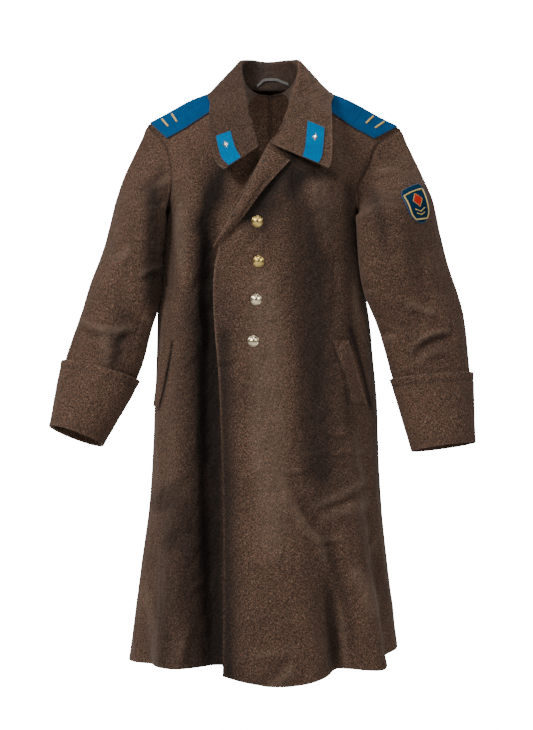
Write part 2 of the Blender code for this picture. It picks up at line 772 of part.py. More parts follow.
# Collar
def neckline():
    """Pairs of points along the neck edge, from the right front's corner round the back."""
    path = []
    for panel in ("front_right", "back_right", "back_left", "front_left"):
        part, side = panel.split("_")
        if part == "front":
            steps = [(1, rise) for rise in UPPER_RISES if rise >= NECK_RISE]
        else:
            start = neck_share(panel)
            steps = [(mix(start, 1, k / 6), 1) for k in range(7)]
        if (part == "front") == (side == "left"):
            steps = steps[::-1]
        for share, rise in steps:
            pair = wall_points(panel, share, rise)
            if not path or (path[-1][0] - pair[0]).length > MM:
                path.append(pair)
    return path


def neck_share(panel):
    """Where the shoulder seam of a back panel meets the neck."""
    low, high = 0.0, 1.0
    for _ in range(24):
        middle = (low + high) / 2
        if abs(panel_point(panel, middle, 1).x) > NECK_HALF:
            low = middle
        else:
            high = middle
    return low


def collar_ends(path, share):
    """Seam, fold and free edge of the collar at a share of its length, and its roll."""
    skin, lining = along(path, share)
    fold, edge = (
        Vector([read(COLLAR_ROWS, f"{part}_{axis}", share) for axis in "xyz"]) * MM
        for part in ("fold", "edge")
    )
    up = (fold - skin).normalized() * COLLAR_GAP
    return skin + up, lining + up, fold, edge, read(COLLAR_ROWS, "roll", share) * MM


def stand_point(path, share, climb):
    """climb is 0 at the seam and 1 at the fold."""
    _, seam, fold, _, _ = collar_ends(path, share)
    return seam.lerp(fold, climb)


def roll_points(path, share):
    """The collar's turn over its fold."""
    _, seam, fold, edge, roll = collar_ends(path, share)
    stand_way, fall_way = (fold - seam).normalized(), (edge - fold).normalized()
    away = (fall_way - stand_way * fall_way.dot(stand_way)).normalized()
    turn = math.acos(clamp(stand_way.dot(fall_way), -1, 1))
    points = []
    for k in range(ROLL_STEPS + 1):
        angle = turn * k / ROLL_STEPS
        reach = stand_way * math.sin(angle) - away * math.cos(angle)
        points.append(fold + (away + reach) * roll)
    return points, away


def fall_point(path, share, drop):
    """drop is 0 below the fold and 1 at the free edge."""
    points, away = roll_points(path, share)
    edge = collar_ends(path, share)[3]
    return points[-1].lerp(edge, drop) + away * FALL_BOW * math.sin(math.pi * drop)


def make_collar(path, material):
    shown, rims = [], []
    for k in range(COLLAR_STATIONS + 1):
        share = k / COLLAR_STATIONS
        rims.append(collar_ends(path, share)[0])
        stand = [stand_point(path, share, j / STAND_STEPS) for j in range(STAND_STEPS)]
        fall = [fall_point(path, share, j / FALL_STEPS) for j in range(1, FALL_STEPS + 1)]
        shown.append([*stand, *roll_points(path, share)[0], *fall])
    inward = grid_normals(shown, lambda normal, point: normal)
    hidden = moved_out(shown, inward, CLOTH)
    for k, rim in enumerate(rims):
        hidden[k][0] = rim
    grid_wall("collar", shown, hidden, material)
    return shown


def make_collar_tab(side, path, material):
    """A blue tab that runs along the free edge of the collar, to its front end."""
    corners = [corner for corner in COLLAR_TABS if corner.side == side]
    grid = []
    for i in range(TAB_ROWS + 1):
        down = i / TAB_ROWS
        shares = [mix(corners[k].share, corners[k + 2].share, down) for k in (0, 1)]
        falls = [mix(corners[k].fall, corners[k + 2].fall, down) for k in (0, 1)]
        line = [j / TAB_COLUMNS for j in range(TAB_COLUMNS + 1)]
        grid.append([fall_point(path, mix(*shares, way), mix(*falls, way)) for way in line])

    def outward(normal, point):
        return normal if normal.dot(Vector((SIDE[side] * 0.5, -1, 0.6))) > 0 else -normal

    laid_on(f"collar_tab_{side}", grid, TAB_THICKNESS, material, TAB_LIFT, outward)
    normal = grid_normals(grid, outward)[2][2]
    base = grid[2][2] + normal * (TAB_THICKNESS + TAB_LIFT + TRIM_LIFT)
    return base, normal


# Trims
def shoulder_point(side, x, distance):
    """A point of the shoulder at one x, in mm, and a distance along the cloth from the ridge:
    above 0 down the front, and below 0 down the back."""
    layer = side if distance >= 0 else "back"
    rise, walked, previous = 1.0, 0.0, None
    while True:
        angle = angle_at(SIDE[side] * x * MM, half_width(side, rise))
        if layer == "back":
            angle = SIDE[side] * math.pi - angle
        point = body_point(layer, angle, rise)
        if previous:
            step = (point - previous).length / MM
            if walked + step >= abs(distance):
                return previous.lerp(point, (abs(distance) - walked) / step)
            walked += step
        previous = point
        rise -= SHOULDER_STEP


def make_board(end, material):
    grid = []
    for i in range(9):
        row = []
        for down in BOARD_LINES:
            slant = max(down, 0) / BOARD_LINES[-1]
            outer_x = mix(end.outer_x_back, end.outer_x_front, slant)
            x = mix(end.inner_x, outer_x, i / 8)
            row.append(shoulder_point(end.side, x, down))
        grid.append(row)
    laid_on(f"shoulder_board_{end.side}", grid, BOARD_THICKNESS, material, BOARD_LIFT)


def make_facing(material):
    """The turned-back edge of the left front, which stands off the coat along its middle."""
    grid = []
    for i in range(11):
        share = i / 10
        row = FacingRow(*(read(FACING_ROWS, column, share) for column in FacingRow._fields))
        line = []
        for j, stand in enumerate(FACING_STANDS):
            across = j / (len(FACING_STANDS) - 1)
            x, z = mix(row.roll_x, row.free_x, across), mix(row.roll_z, row.free_z, across)
            line.append(coat_point("left", x, z) + Vector((0, -stand * row.stand * MM, 0)))
        grid.append(line)
    laid_on("left_facing", grid, CLOTH, material)
    return grid


def make_welt(welt, material):
    grid = []
    for i in range(7):
        z = mix(welt.top_z, welt.foot_z, i / 6) * MM
        inner = mix(welt.top_angle, welt.foot_angle, i / 6)
        wide = mix(welt.top_wide, welt.foot_wide, i / 6)
        angles = [math.radians(inner + wide * j / 3) for j in range(4)]
        grid.append([lower_point(welt.side, angle, z) for angle in angles])
    laid_on(f"pocket_welt_{welt.side}", grid, WELT_THICKNESS, material, WELT_LIFT)


def make_patch(material):
    grid = []
    last = len(PATCH_WIDTHS) - 1
    for i, width in enumerate(PATCH_WIDTHS):
        run = PATCH_RUN + PATCH_DOWN * (2 * i / last - 1)
        shares = [k / 3 - 1 for k in range(7)]
        turns = [PATCH_TURN + PATCH_ROUND * width * share for share in shares]
        grid.append([sleeve_point("left", run, turn) for turn in turns])
    laid_on("sleeve_patch", grid, TAB_THICKNESS, material, outward=from_arm("left"))


def make_button(k, x, z, material):
    centre = coat_point("left", x, z)
    beside = coat_point("left", x + 8, z) - coat_point("left", x - 8, z)
    below = coat_point("left", x, z + 8) - coat_point("left", x, z - 8)
    normal = facing_out(beside.cross(below).normalized(), centre)
    spun(f"button_{k}", centre + normal * TRIM_LIFT, normal, BUTTON_PROFILE, material)


def make_hanger(path, material):
    grid = []
    for k in range(11):
        place = k / 10 * (len(HANGER) - 1)
        i = min(int(place), len(HANGER) - 2)
        share, climb = (mix(a, b, place - i) for a, b in zip(HANGER[i], HANGER[i + 1]))
        low, high = stand_point(path, share, climb), stand_point(path, share, climb + 0.08)
        up = (high - low).normalized() * HANGER_WIDTH
        grid.append([low, low + up])

    def inward(normal, point):
        return normal if normal.y < 0 else -normal

    laid_on("hanger_loop", grid, HANGER_THICKNESS, material, HANGER_LIFT, inward)


def make_hooks(facing, material):
    """A small wire loop on the turned-back edge, near its top and below its middle."""
    normals = grid_normals(facing)
    for label, row in HOOKS:
        normal = normals[row][1]
        base = facing[row][1] + normal * (TRIM_LIFT + CLOTH + HOOK_LIFT)
        reach = (facing[row][2] - facing[row][0]).normalized() * HOOK_LENGTH + normal * HOOK_RISE
        beside = (facing[row + 1][1] - facing[row - 1][1]).normalized() * HOOK_WIDTH
        points = [base - beside / 2, base - beside / 2 + reach]
        points += [base + beside / 2 + reach, base + beside / 2]
        wire(f"hook_{label}", points, material, HOOK_WIRE)


def main():
    wool, blue, brass, silver, steel, tape = (make_material(*kind) for kind in MATERIALS)
    for panel in LAYER:
        make_panel(panel, wool)
    for side in SIDE:
        make_sleeve(side, wool)
        make_cuff(side, wool)
    path = neckline()
    make_collar(path, wool)
    for side in SIDE:
        base, normal = make_collar_tab(side, path, blue)
        spun(f"tab_device_{side}", base, normal, DEVICE_PROFILE, silver, sides=10)
    for end in BOARD_ENDS:
        make_board(end, blue)
    facing = make_facing(wool)
    make_hooks(facing, steel)
    for welt in WELTS:
        make_welt(welt, wool)
    make_patch(blue)
    for k, (x, z) in enumerate(BUTTONS, 1):
        make_button(k, x, z, brass)
    make_hanger(path, tape)


for old in list(bpy.data.objects):
    bpy.data.objects.remove(old)
COAT = bpy.data.collections.new("military_greatcoat")
bpy.context.scene.collection.children.link(COAT)
main()
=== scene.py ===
import math

import bmesh
import bpy
import numpy as np
from mathutils import Matrix, Vector, noise
from mathutils.bvhtree import BVHTree


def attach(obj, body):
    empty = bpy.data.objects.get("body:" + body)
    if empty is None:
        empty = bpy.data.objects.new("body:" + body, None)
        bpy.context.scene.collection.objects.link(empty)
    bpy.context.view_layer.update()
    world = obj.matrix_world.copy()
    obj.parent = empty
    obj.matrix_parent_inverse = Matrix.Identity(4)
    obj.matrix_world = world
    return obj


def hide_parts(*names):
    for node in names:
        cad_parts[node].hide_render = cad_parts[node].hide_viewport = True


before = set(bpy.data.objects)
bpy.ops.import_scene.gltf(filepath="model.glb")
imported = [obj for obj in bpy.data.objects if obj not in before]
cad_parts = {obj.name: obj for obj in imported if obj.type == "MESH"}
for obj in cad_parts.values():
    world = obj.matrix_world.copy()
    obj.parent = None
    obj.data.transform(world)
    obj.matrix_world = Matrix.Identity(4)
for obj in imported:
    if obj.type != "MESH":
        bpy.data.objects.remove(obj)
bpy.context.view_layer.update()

mm = 0.001
sideSign = {"right": -1, "left": 1}
# smallest cell beside a seam or a fold in metres, and how quickly cells grow away from it
fineCell, fineGrowth = 0.0012, 0.35
# what the guide to the outer face adds: more to the front and the back, and mm upwards
guideDepth, guideUp = 1.4, 40

# Picture: camera, floor and light, in metres and watts
studio = {
    "camera": (-0.0068, -3.2, -0.5265),
    "lens": 80.93,
    "sensorWidth": 36,
    "floorHeight": -1.245,
    "floorSize": 60.0,
    "floorColour": (0.86, 0.86, 0.86, 1),
    "floorRoughness": 0.9,
    "backdropGlow": 18.0,
    "ambient": 0.12,
    "lights": (
        # place, aim, width, height, watts
        ((-2.7, -2.7, 2.2), (0, 0, -0.5), 1.1, 1.1, 205),
        ((2.9, -2.6, 1.6), (0, 0, -0.5), 1.6, 1.6, 50),
        ((0.0, -2.0, 3.0), (0, 0, -0.4), 1.6, 1.0, 45),
        ((0.6, 1.8, 2.2), (0, 0, -0.4), 2.5, 1.2, 30),
    ),
    # a small soft lamp inside the chest, for what shows through the neck
    "neckLamp": ((0.0, -0.02, -0.215), (0.0, 0.09, -0.05), 0.10, 0.05, 0.30),
}


def aimed(thing, place, aim):
    thing.location = place
    thing.rotation_euler = (Vector(aim) - Vector(place)).to_track_quat("-Z", "Y").to_euler()


def addObject(name, data):
    thing = bpy.data.objects.new(name, data)
    bpy.context.scene.collection.objects.link(thing)
    return thing


def setStudio():
    lens = bpy.data.cameras.new("camera")
    lens.lens = studio["lens"]
    lens.sensor_width = studio["sensorWidth"]
    camera = addObject("camera", lens)
    aimed(camera, studio["camera"], Vector(studio["camera"]) + Vector((0, 1, 0)))
    bpy.context.scene.camera = camera
    for k, (place, aim, width, height, watts) in enumerate((*studio["lights"], studio["neckLamp"])):
        lamp = bpy.data.lights.new(f"softbox{k}", "AREA")
        lamp.shape, lamp.size, lamp.size_y, lamp.energy = "RECTANGLE", width, height, watts
        aimed(addObject(f"softbox{k}", lamp), place, aim)
    world = bpy.data.worlds.new("studio")
    bpy.context.scene.world = world
    world.use_nodes = True
    nodes, links = world.node_tree.nodes, world.node_tree.links
    dim, bright = nodes["Background"], nodes.new("ShaderNodeBackground")
    for light, strength in ((dim, studio["ambient"]), (bright, studio["backdropGlow"] + studio["ambient"])):
        light.inputs["Color"].default_value = (1, 1, 1, 1)
        light.inputs["Strength"].default_value = strength
    seen, blend = nodes.new("ShaderNodeLightPath"), nodes.new("ShaderNodeMixShader")
    links.new(seen.outputs["Is Camera Ray"], blend.inputs[0])
    links.new(dim.outputs[0], blend.inputs[1])
    links.new(bright.outputs[0], blend.inputs[2])
    links.new(blend.outputs[0], nodes["World Output"].inputs["Surface"])

    paper = bpy.data.materials.new("paleFloor")
    paper.use_nodes = True
    nodes, links = paper.node_tree.nodes, paper.node_tree.links
    matt = nodes["Principled BSDF"]
    matt.inputs["Base Color"].default_value = studio["floorColour"]
    matt.inputs["Roughness"].default_value = studio["floorRoughness"]
    seen = nodes.new("ShaderNodeLightPath")
    glow = nodes.new("ShaderNodeMath")
    glow.operation = "MULTIPLY"
    glow.inputs[1].default_value = studio["backdropGlow"]
    links.new(seen.outputs["Is Camera Ray"], glow.inputs[0])
    matt.inputs["Emission Color"].default_value = (1, 1, 1, 1)
    links.new(glow.outputs[0], matt.inputs["Emission Strength"])
    shape = bmesh.new()
    bmesh.ops.create_grid(shape, x_segments=1, y_segments=1, size=studio["floorSize"] / 2)
    bmesh.ops.translate(shape, verts=shape.verts, vec=(0, 0, studio["floorHeight"]))
    data = bpy.data.meshes.new("floor")
    shape.to_mesh(data)
    shape.free()
    data.materials.append(paper)
    floor = addObject("floor", data)


setStudio()
print("studio set")


# Small helpers
def clamp(value, low=0.0, high=1.0):
    return max(low, min(high, value))


def mix(start, end, share):
    return start + (end - start) * share


def ease(share):
    share = clamp(share)
    return share * share * (3 - 2 * share)


def bump(away, width):
    return math.exp(-((away / width) ** 2))


def bell(away, width):
    # the same for arrays
    return np.exp(-((away / width) ** 2))


def fade(away, over):
    return np.clip(away / over, 0, 1)


curves = {}


def readTable(table, name, at):
    # a column of a table at a value of its first column, on a smooth curve through the rows
    if (id(table), name) not in curves:
        place = table["columns"].index(name)
        rows = sorted(table["rows"])
        curves[id(table), name] = [row[0] for row in rows], [row[place] for row in rows]
    keys, values = curves[id(table), name]
    at = clamp(at, keys[0], keys[-1])
    i = max(k for k in range(len(keys) - 1) if keys[k] <= at)
    step = keys[i + 1] - keys[i]
    share = (at - keys[i]) / step

    def slope(k):
        low, high = max(k - 1, 0), min(k + 1, len(keys) - 1)
        return (values[high] - values[low]) / (keys[high] - keys[low])

    bend = step * share * (1 - share)
    eased = mix(values[i], values[i + 1], ease(share))
    return eased + bend * ((1 - share) * slope(i) - share * slope(i + 1))


def signedPower(value, power):
    return math.copysign(abs(value) ** power, value)


def stepsOver(length, cell, fineStart=False, fineEnd=False):
    # shares along a length, closer together at the ends that carry a seam or a fold
    def half(fine):
        places, at = [], 0.0
        while at < length / 2:
            places.append(at)
            at += clamp(fineCell + at * fineGrowth, fineCell, cell) if fine else cell
        return places

    far = [length - place for place in half(fineEnd)][::-1]
    return [place / length for place in half(fineStart) + far]


# Form of the body, in mm and degrees, the same sections as the solids
body = {
    "chestZ": -235,
    "hemZ": -1090,
    "squareness": 2.4,
    "ridgeDrop": 0.435,
    "neckHalf": 75,
    "neckRidgeZ": 12,
    "napeY": 66,
    "yokeRise": 0.5,
    "overlapOut": 5,
    "overlapIn": -8,
    "overlapFade": 90,
    "overlapFrom": -144,
    # degrees beside a side seam without folds, and over how many they begin
    "seamCalm": (2, 12),
    # depth in mm below which folds and overlap shrink
    "shallow": 81.25,
    "napeBlend": 3,
    "sections": {
        "columns": ("z", "right", "left", "front", "back"),
        "rows": (
            (-235, 205, 173, 150, 135),
            (-268, 210, 174, 149, 131),
            (-320, 215, 179, 147, 127),
            (-366, 217, 185, 145, 124),
            (-405, 218, 189, 145, 124),
            (-450, 219, 195, 146, 127),
            (-500, 220, 199, 150, 134),
            (-600, 224, 208, 159, 150),
            (-700, 228, 211, 167, 163),
            (-800, 235, 217, 174, 174),
            (-900, 248, 227, 181, 184),
            (-1000, 261, 239, 188, 193),
            (-1120, 277, 252, 194, 202),
        ),
    },
    # bend and sharpness of the shoulder's fall, near the neck and near the armhole
    "frontSlopes": ((1.8, 0.8), (1.25, 1.05)),
    "backSlopes": ((2.2, 0.67), (2.0, 0.75)),
    "slopeFrom": 85,
    "slopeOver": 90,
    "armhole": {
        "columns": ("rise", "right", "left", "wideRight", "wideLeft"),
        "rows": (
            (0.00, 205, 173, 205, 173),
            (0.12, 195, 166, 207, 177),
            (0.25, 189, 169, 210, 186),
            (0.50, 193, 193, 222, 210),
            (0.70, 204, 207, 235, 234),
            (1.00, 239, 255, 266, 282),
        ),
    },
    "lowerEdge": {
        "columns": ("rise", "left", "right"),
        "rows": ((-1.00, -84, 44), (-0.70, -84, 40), (-0.40, -92, 34), (-0.15, -103, 24), (0, -70, 12)),
    },
    "upperEdge": {
        "columns": ("rise", "left", "right"),
        "rows": (
            (0.00, -70, 12),
            (0.46, 0, -21),
            (0.50, 9, -26),
            (0.66, 40, -45),
            (0.82, 63, -65),
            (1.00, 75, -75),
        ),
    },
    "hem": {
        "columns": ("angle", "left", "right"),
        "rows": (
            (-16, -1094, -1086),
            (0, -1112, -1086),
            (10, -1110, -1086),
            (20, -1101, -1087),
            (31, -1092, -1089),
            (50, -1095, -1088),
            (62, -1083, -1090),
            (78, -1072, -1093),
            (90, -1070, -1094),
            (180, -1086, -1086),
        ),
    },
    # layer, top angle and z, foot angle and z, depth at top and foot, width, fade above the top
    "folds": (
        ("left", -24, -300, -14, -1120, 4, 8, 20, 120),
        ("left", 17, -760, 31, -1120, 0, -40, 9, 120),
        ("left", 6, -640, 8, -1120, 0, 16, 16, 200),
        ("left", 40, -700, 51, -1120, 0, 16, 9, 150),
        ("left", 52, -560, 68, -1120, -4, -16, 8, 100),
        ("left", 24, -250, 34, -640, 4, 6, 12, 100),
        ("right", -29, -150, -21, -1120, -26, -32, 9, 90),
        ("right", -12, -200, -5, -1120, -12, -24, 16, 120),
        ("right", 10, -200, 8, -1120, -10, -14, 16, 120),
        ("right", -43, -280, -39, -1120, 6, 14, 10, 200),
        ("right", -62, -760, -56, -1120, 0, -14, 9, 160),
        ("back", 180, -380, 180, -1120, -4, -24, 8, 160),
        ("back", 160, -460, 158, -1120, 3, 20, 9, 160),
        ("back", 137, -520, 135, -1120, -4, -30, 8, 160),
        ("back", 115, -560, 112, -1120, 2, 17, 8, 160),
        ("back", -161, -440, -159, -1120, 3, 22, 9, 160),
        ("back", -140, -560, -136, -1120, -3, -26, 8, 160),
        ("back", -118, -500, -115, -1120, 2, 15, 8, 160),
    ),
}


def sideOf(x):
    return "left" if x >= 0 else "right"


def angleAt(x, halfWidth):
    share = clamp(abs(x) / halfWidth)
    return math.copysign(math.asin(share ** (body["squareness"] / 2)), x)


def ridgeHeight(x):
    return body["neckRidgeZ"] - body["ridgeDrop"] * (abs(x) - body["neckHalf"])


def halfWidthAt(side, rise):
    if rise > 0:
        return readTable(body["armhole"], "wide" + side.capitalize(), rise)
    return readTable(body["sections"], side, mix(body["chestZ"], body["hemZ"], -rise))


def foldOut(layer, angle, z):
    total, degrees = 0.0, math.degrees(angle)
    for which, topAngle, topZ, footAngle, footZ, topDepth, footDepth, width, above in body["folds"]:
        if which != layer:
            continue
        run = clamp((topZ - z) / (topZ - footZ))
        away = degrees - mix(topAngle, footAngle, run)
        if layer == "back":
            away = (away + 180) % 360 - 180
        depth = mix(topDepth, footDepth, run) * ease((topZ + above - z) / above)
        total += depth * bump(away, width)
    calm, over = body["seamCalm"]
    return total * ease((abs(abs(degrees) - 90) - calm) / over)


def overlapStep(layer, x):
    over = body["overlapFade"]
    if layer == "left":
        return body["overlapOut"] * ease((over - x) / over)
    if layer == "right":
        return body["overlapIn"] * ease((x - body["overlapFrom"]) / over)
    return 0.0


def shoulderShare(face, x, rise):
    near, far = body[face + "Slopes"]
    way = ease((abs(x) - body["slopeFrom"]) / body["slopeOver"])
    closed = min(rise, 1) ** mix(near[0], far[0], way)
    return (1 - closed) ** mix(near[1], far[1], way)


def hemHeight(layer, angle):
    degrees = math.degrees(angle)
    if layer == "left":
        return readTable(body["hem"], "left", degrees)
    return readTable(body["hem"], "right" if layer == "right" else sideOf(angle), abs(degrees))


def bodyPoint(layer, angle, rise):
    # a point of the outer face in mm: angle 0 is the front; rise -1 the hem, 0 the chest, 1 the shoulder
    side = sideOf(angle)
    across, ahead = math.sin(angle), math.cos(angle)
    face = "front" if ahead >= 0 else "back"
    if rise <= 0:
        z = mix(body["chestZ"], hemHeight(layer, angle), -rise)
        depth = readTable(body["sections"], face, z)
        x = readTable(body["sections"], side, z) * signedPower(across, 2 / body["squareness"])
    else:
        x = halfWidthAt(side, rise) * signedPower(across, 2 / body["squareness"])
        z = mix(body["chestZ"], ridgeHeight(x), rise)
        depth = readTable(body["sections"], face, body["chestZ"]) * shoulderShare(face, x, rise)
    y = -depth * signedPower(ahead, 2 / body["squareness"])
    out = Vector((across, -ahead, 0)).normalized()
    moved = foldOut(layer, angle, z) + overlapStep(layer, x)
    return Vector((x, y, z)) + out * moved * clamp(abs(depth) / body["shallow"])


def edgeAngle(part, side, rise):
    if part == "back":
        return math.pi * sideSign[side]
    x = readTable(body["lowerEdge" if rise <= 0 else "upperEdge"], side, rise)
    return angleAt(x, halfWidthAt(sideOf(x), rise))


def seamAngle(part, side, rise):
    angle = math.pi / 2
    if rise > 0:
        angle = angleAt(readTable(body["armhole"], side, rise), halfWidthAt(side, rise))
        if part == "back":
            angle = math.pi - angle
    return angle * sideSign[side]


def panelPoint(part, side, share, rise):
    # share is 0 at the side seam or armhole and 1 at the leading edge or centre back
    layer = side if part == "front" else "back"
    angle = mix(seamAngle(part, side, rise), edgeAngle(part, side, rise), share)
    point = bodyPoint(layer, angle, rise)
    if layer != "back" or rise <= body["yokeRise"]:
        return point
    neckShare = clamp(1 - abs(point.x) / body["neckHalf"])
    napeY = body["napeY"] * math.sin(neckShare * math.pi / 2)
    below = bodyPoint(layer, angle, body["yokeRise"])
    climb = (rise - body["yokeRise"]) / (1 - body["yokeRise"])
    yoke = Vector((point.x, mix(below.y, napeY, climb**2), mix(below.z, body["neckRidgeZ"], climb)))
    return point.lerp(yoke, ease(neckShare * body["napeBlend"]))


def coatPoint(layer, x, z):
    rise = (z - body["chestZ"]) / (ridgeHeight(x) - body["chestZ"])
    if rise > 0:
        return bodyPoint(layer, angleAt(x, halfWidthAt(sideOf(x), rise)), rise)
    half = readTable(body["sections"], sideOf(x), z)
    return lowerPoint(layer, angleAt(x, half), z)


def lowerPoint(layer, angle, z):
    return bodyPoint(layer, angle, (z - body["chestZ"]) / (body["chestZ"] - hemHeight(layer, angle)))


# Cloth grids: rows of points in mm, pressed with creases, then made into walls
def gridOf(rows, columns, place):
    return np.array([[place(i, j) for j in columns] for i in rows], float)


def gridNormals(grid, outward):
    # normals of a grid of points, all on the side that the function outward points to
    down = np.gradient(grid, axis=0)
    across = np.gradient(grid, axis=1)
    normals = np.cross(across, down)
    length = np.linalg.norm(normals, axis=2, keepdims=True)
    normals /= np.maximum(length, 1e-9)
    if (normals * outward(grid)).sum() < 0:
        normals = -normals
    return normals


def fromMiddle(grid):
    return grid * (1, guideDepth, 0) + (0, 0, guideUp)


def besideLine(x, z, line, bow, fullness):
    # the share along a line, how far that is inside its ends, the distance beside it, and its length
    startX, startZ, endX, endZ = line
    alongX, alongZ = endX - startX, endZ - startZ
    length = math.hypot(alongX, alongZ)
    share = ((x - startX) * alongX + (z - startZ) * alongZ) / length**2
    inside = np.clip(fullness * share * (1 - share), 0, 1)
    away = ((z - startZ) * alongX - (x - startX) * alongZ) / length - bow * inside
    return share, inside, away, length


def creaseRise(x, z, creases):
    # height of the creases at places of the cloth; a crease leans to one side, where a hollow lies beside it
    total = np.zeros_like(x)
    for *line, bow, width, depth, lean in creases:
        _, inside, away, _ = besideLine(x, z, line, bow, 4)
        hollow = bell(away - 1.9 * lean * width, 1.3 * width)
        total += depth * inside**0.7 * (bell(away, width) - 0.5 * abs(lean) * hollow)
    return total


def bandsOf(x, z, rows):
    # strength of soft bands: start x and z, end x and z, bow, width, strength
    clear = np.ones_like(x)
    for *line, bow, width, strength in rows:
        share, _, away, length = besideLine(x, z, line, bow, 3)
        ends = bell(np.maximum(np.abs(share - 0.5) - 0.5, 0) * length, 1.2 * width)
        clear *= 1 - strength * ends * bell(away, width)
    return 1 - clear


def softNoise(grid, scale, stretch=1.0, seed=0.0):
    # slow unevenness of the cloth, from -1 to 1, longer up and down than across by stretch
    rows, columns = grid.shape[:2]
    found = np.zeros((rows, columns))
    for i in range(rows):
        for j in range(columns):
            x, y, z = grid[i, j]
            found[i, j] = noise.noise(Vector((x / scale + seed, y / scale, z / scale / stretch)))
    return found


def arcOf(grid, axis):
    # lengths along the cloth in mm, down the columns for axis 0 and along the rows for axis 1
    steps = np.linalg.norm(np.diff(grid, axis=axis), axis=2)
    return np.insert(np.cumsum(steps, axis=axis), 0, 0, axis=axis)


def makeObject(name, shape, finish, smooth=True):
    data = bpy.data.meshes.new(name)
    shape.to_mesh(data)
    shape.free()
    if smooth:
        data.shade_smooth()
    data.materials.append(finish)
    piece = addObject(name, data)
    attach(piece, "root")
    return piece


def clothPiece(name, grid, normals, thickness, finish, wearAndHighlight=None, closed=False, rim=0.8, paintedShade=None):
    # a wall of cloth whose shown face is the grid; thickness goes behind it, in mm
    rows, columns = grid.shape[:2]
    shape = bmesh.new()
    threads = shape.loops.layers.uv.new("threads")
    # layers for wear and painted highlight, and for painted shade, copied from the grids
    wornAndHighlighted = shape.verts.layers.float.new("wearAndHighlight")
    paintedShadeLayer = shape.verts.layers.float.new("paintedShade")
    bmesh.ops.create_grid(shape, x_segments=columns - 1, y_segments=rows - 1, size=0.5)
    spots = {}
    for vert in shape.verts:
        i, j = round((vert.co.y + 0.5) * (rows - 1)), round((vert.co.x + 0.5) * (columns - 1))
        spots[vert] = i, j
        vert.co = Vector(grid[i, j]) * mm
    uvAcross, uvDown = arcOf(grid, 1), arcOf(grid, 0)
    uvAcross = uvAcross - uvAcross[:, -1:] / 2
    for face in shape.faces:
        for loop in face.loops:
            i, j = spots[loop.vert]
            loop[threads].uv = (uvAcross[i, j] * mm, uvDown[i, j] * mm)
    for values, layer in ((wearAndHighlight, wornAndHighlighted), (paintedShade, paintedShadeLayer)):
        if values is not None:
            for vert, (i, j) in spots.items():
                vert[layer] = float(values[i, j])
    shape.normal_update()
    middle = next(v for v, (i, j) in spots.items() if (i, j) == (rows // 2, columns // 2))
    if middle.normal.dot(Vector(normals[rows // 2, columns // 2])) < 0:
        bmesh.ops.reverse_faces(shape, faces=shape.faces)
    if closed:
        bmesh.ops.remove_doubles(shape, verts=shape.verts, dist=1e-5)
    piece = makeObject(name, shape, finish)
    wall = piece.modifiers.new("wall", "SOLIDIFY")
    wall.thickness, wall.offset = thickness * mm, -1
    wall.use_quality_normals = True
    edge = piece.modifiers.new("rim", "BEVEL")
    edge.limit_method, edge.angle_limit = "ANGLE", math.radians(62)
    edge.width, edge.segments = rim * mm, 2
    return piece


def stitches(name, path, ways, finish, length=3.0, gap=1.6, width=0.75, lift=0.15):
    # a row of thread stitches along a path of points, lifted along the normals beside it
    shape = bmesh.new()
    path, ways = [Vector(p) for p in path], [Vector(w) for w in ways]
    reach = [0.0]
    for one, two in zip(path, path[1:]):
        reach.append(reach[-1] + (two - one).length)

    def at(distance):
        k = max(n for n in range(len(path) - 1) if reach[n] <= distance)
        share = (distance - reach[k]) / max(reach[k + 1] - reach[k], 1e-9)
        return path[k].lerp(path[k + 1], share), ways[k].lerp(ways[k + 1], share).normalized()

    place = gap
    while place + length < reach[-1]:
        (start, way), (end, _) = at(place), at(place + length)
        along = (end - start).normalized()
        side = way.cross(along).normalized()
        up = along.cross(side)
        turn = Matrix((along, side, up)).transposed().to_4x4()
        size = Matrix.Diagonal((length / 2, width / 2, width * 0.4, 1))
        spot = Matrix.Translation((start + end) / 2 + up * lift)
        bmesh.ops.create_uvsphere(
            shape, u_segments=6, v_segments=4, radius=1, matrix=Matrix.Scale(mm, 4) @ spot @ turn @ size
        )
        place += length + gap
    return makeObject(name, shape, finish)


# Finishes
woolLook = {
    "dark": (0.0095, 0.0049, 0.0032),
    "middle": (0.056, 0.0298, 0.0180),
    "light": (0.178, 0.102, 0.065),
    "rust": (0.170, 0.046, 0.026),
    "pale": (0.430, 0.345, 0.275),
    # lighter colour for wear and painted highlight
    "wornAndHighlighted": (0.190, 0.130, 0.094),
    # sizes of the noises, and of the two yarns across their threads and along them
    "fibres": 540,
    "flecks": 480,
    "paleFlecks": 624,
    "patches": 13,
    "rumpleSize": 21,
    "yarns": ((900, 230, 330), (230, 900, 330)),
    # where one colour passes into the next, and how strong the flecks are
    "toMiddle": (0.43, 0.50),
    "toLight": (0.505, 0.585),
    "rustFlecks": (0.60, 0.68, 0, 0.55),
    "paleShare": (0.66, 0.74, 0, 0.6),
    # how the fibres break up the wear and painted highlight
    "wearAndHighlightSpread": (0.35, 0.65, 0.3, 1.0),
    "cloudiness": (0.3, 0.7, 0.84, 1.12),
    "roughness": (0.3, 0.7, 0.84, 0.97),
    "specular": 0.25,
    "sheen": 0.12,
    "sheenRoughness": 0.45,
    "sheenTint": (0.80, 0.66, 0.55, 1),
    "threadPitch": 1.7,
    # weights of the weave, the heather and the rumples, then strength and depth in metres of the relief
    "weights": (0.35, 1.3, 38.0),
    "relief": (0.55, 0.0009),
}
feltLook = {
    "fibres": 620,
    "clouds": 45,
    "toMiddle": (0.35, 0.52),
    "toLight": (0.52, 0.72),
    "cloudiness": (0.3, 0.7, 0.9, 1.08),
    "roughness": (0.3, 0.7, 0.8, 0.95),
    "specular": 0.06,
    "sheen": 0.02,
    "sheenRoughness": 0.4,
    "relief": (0.4, 0.0004),
}
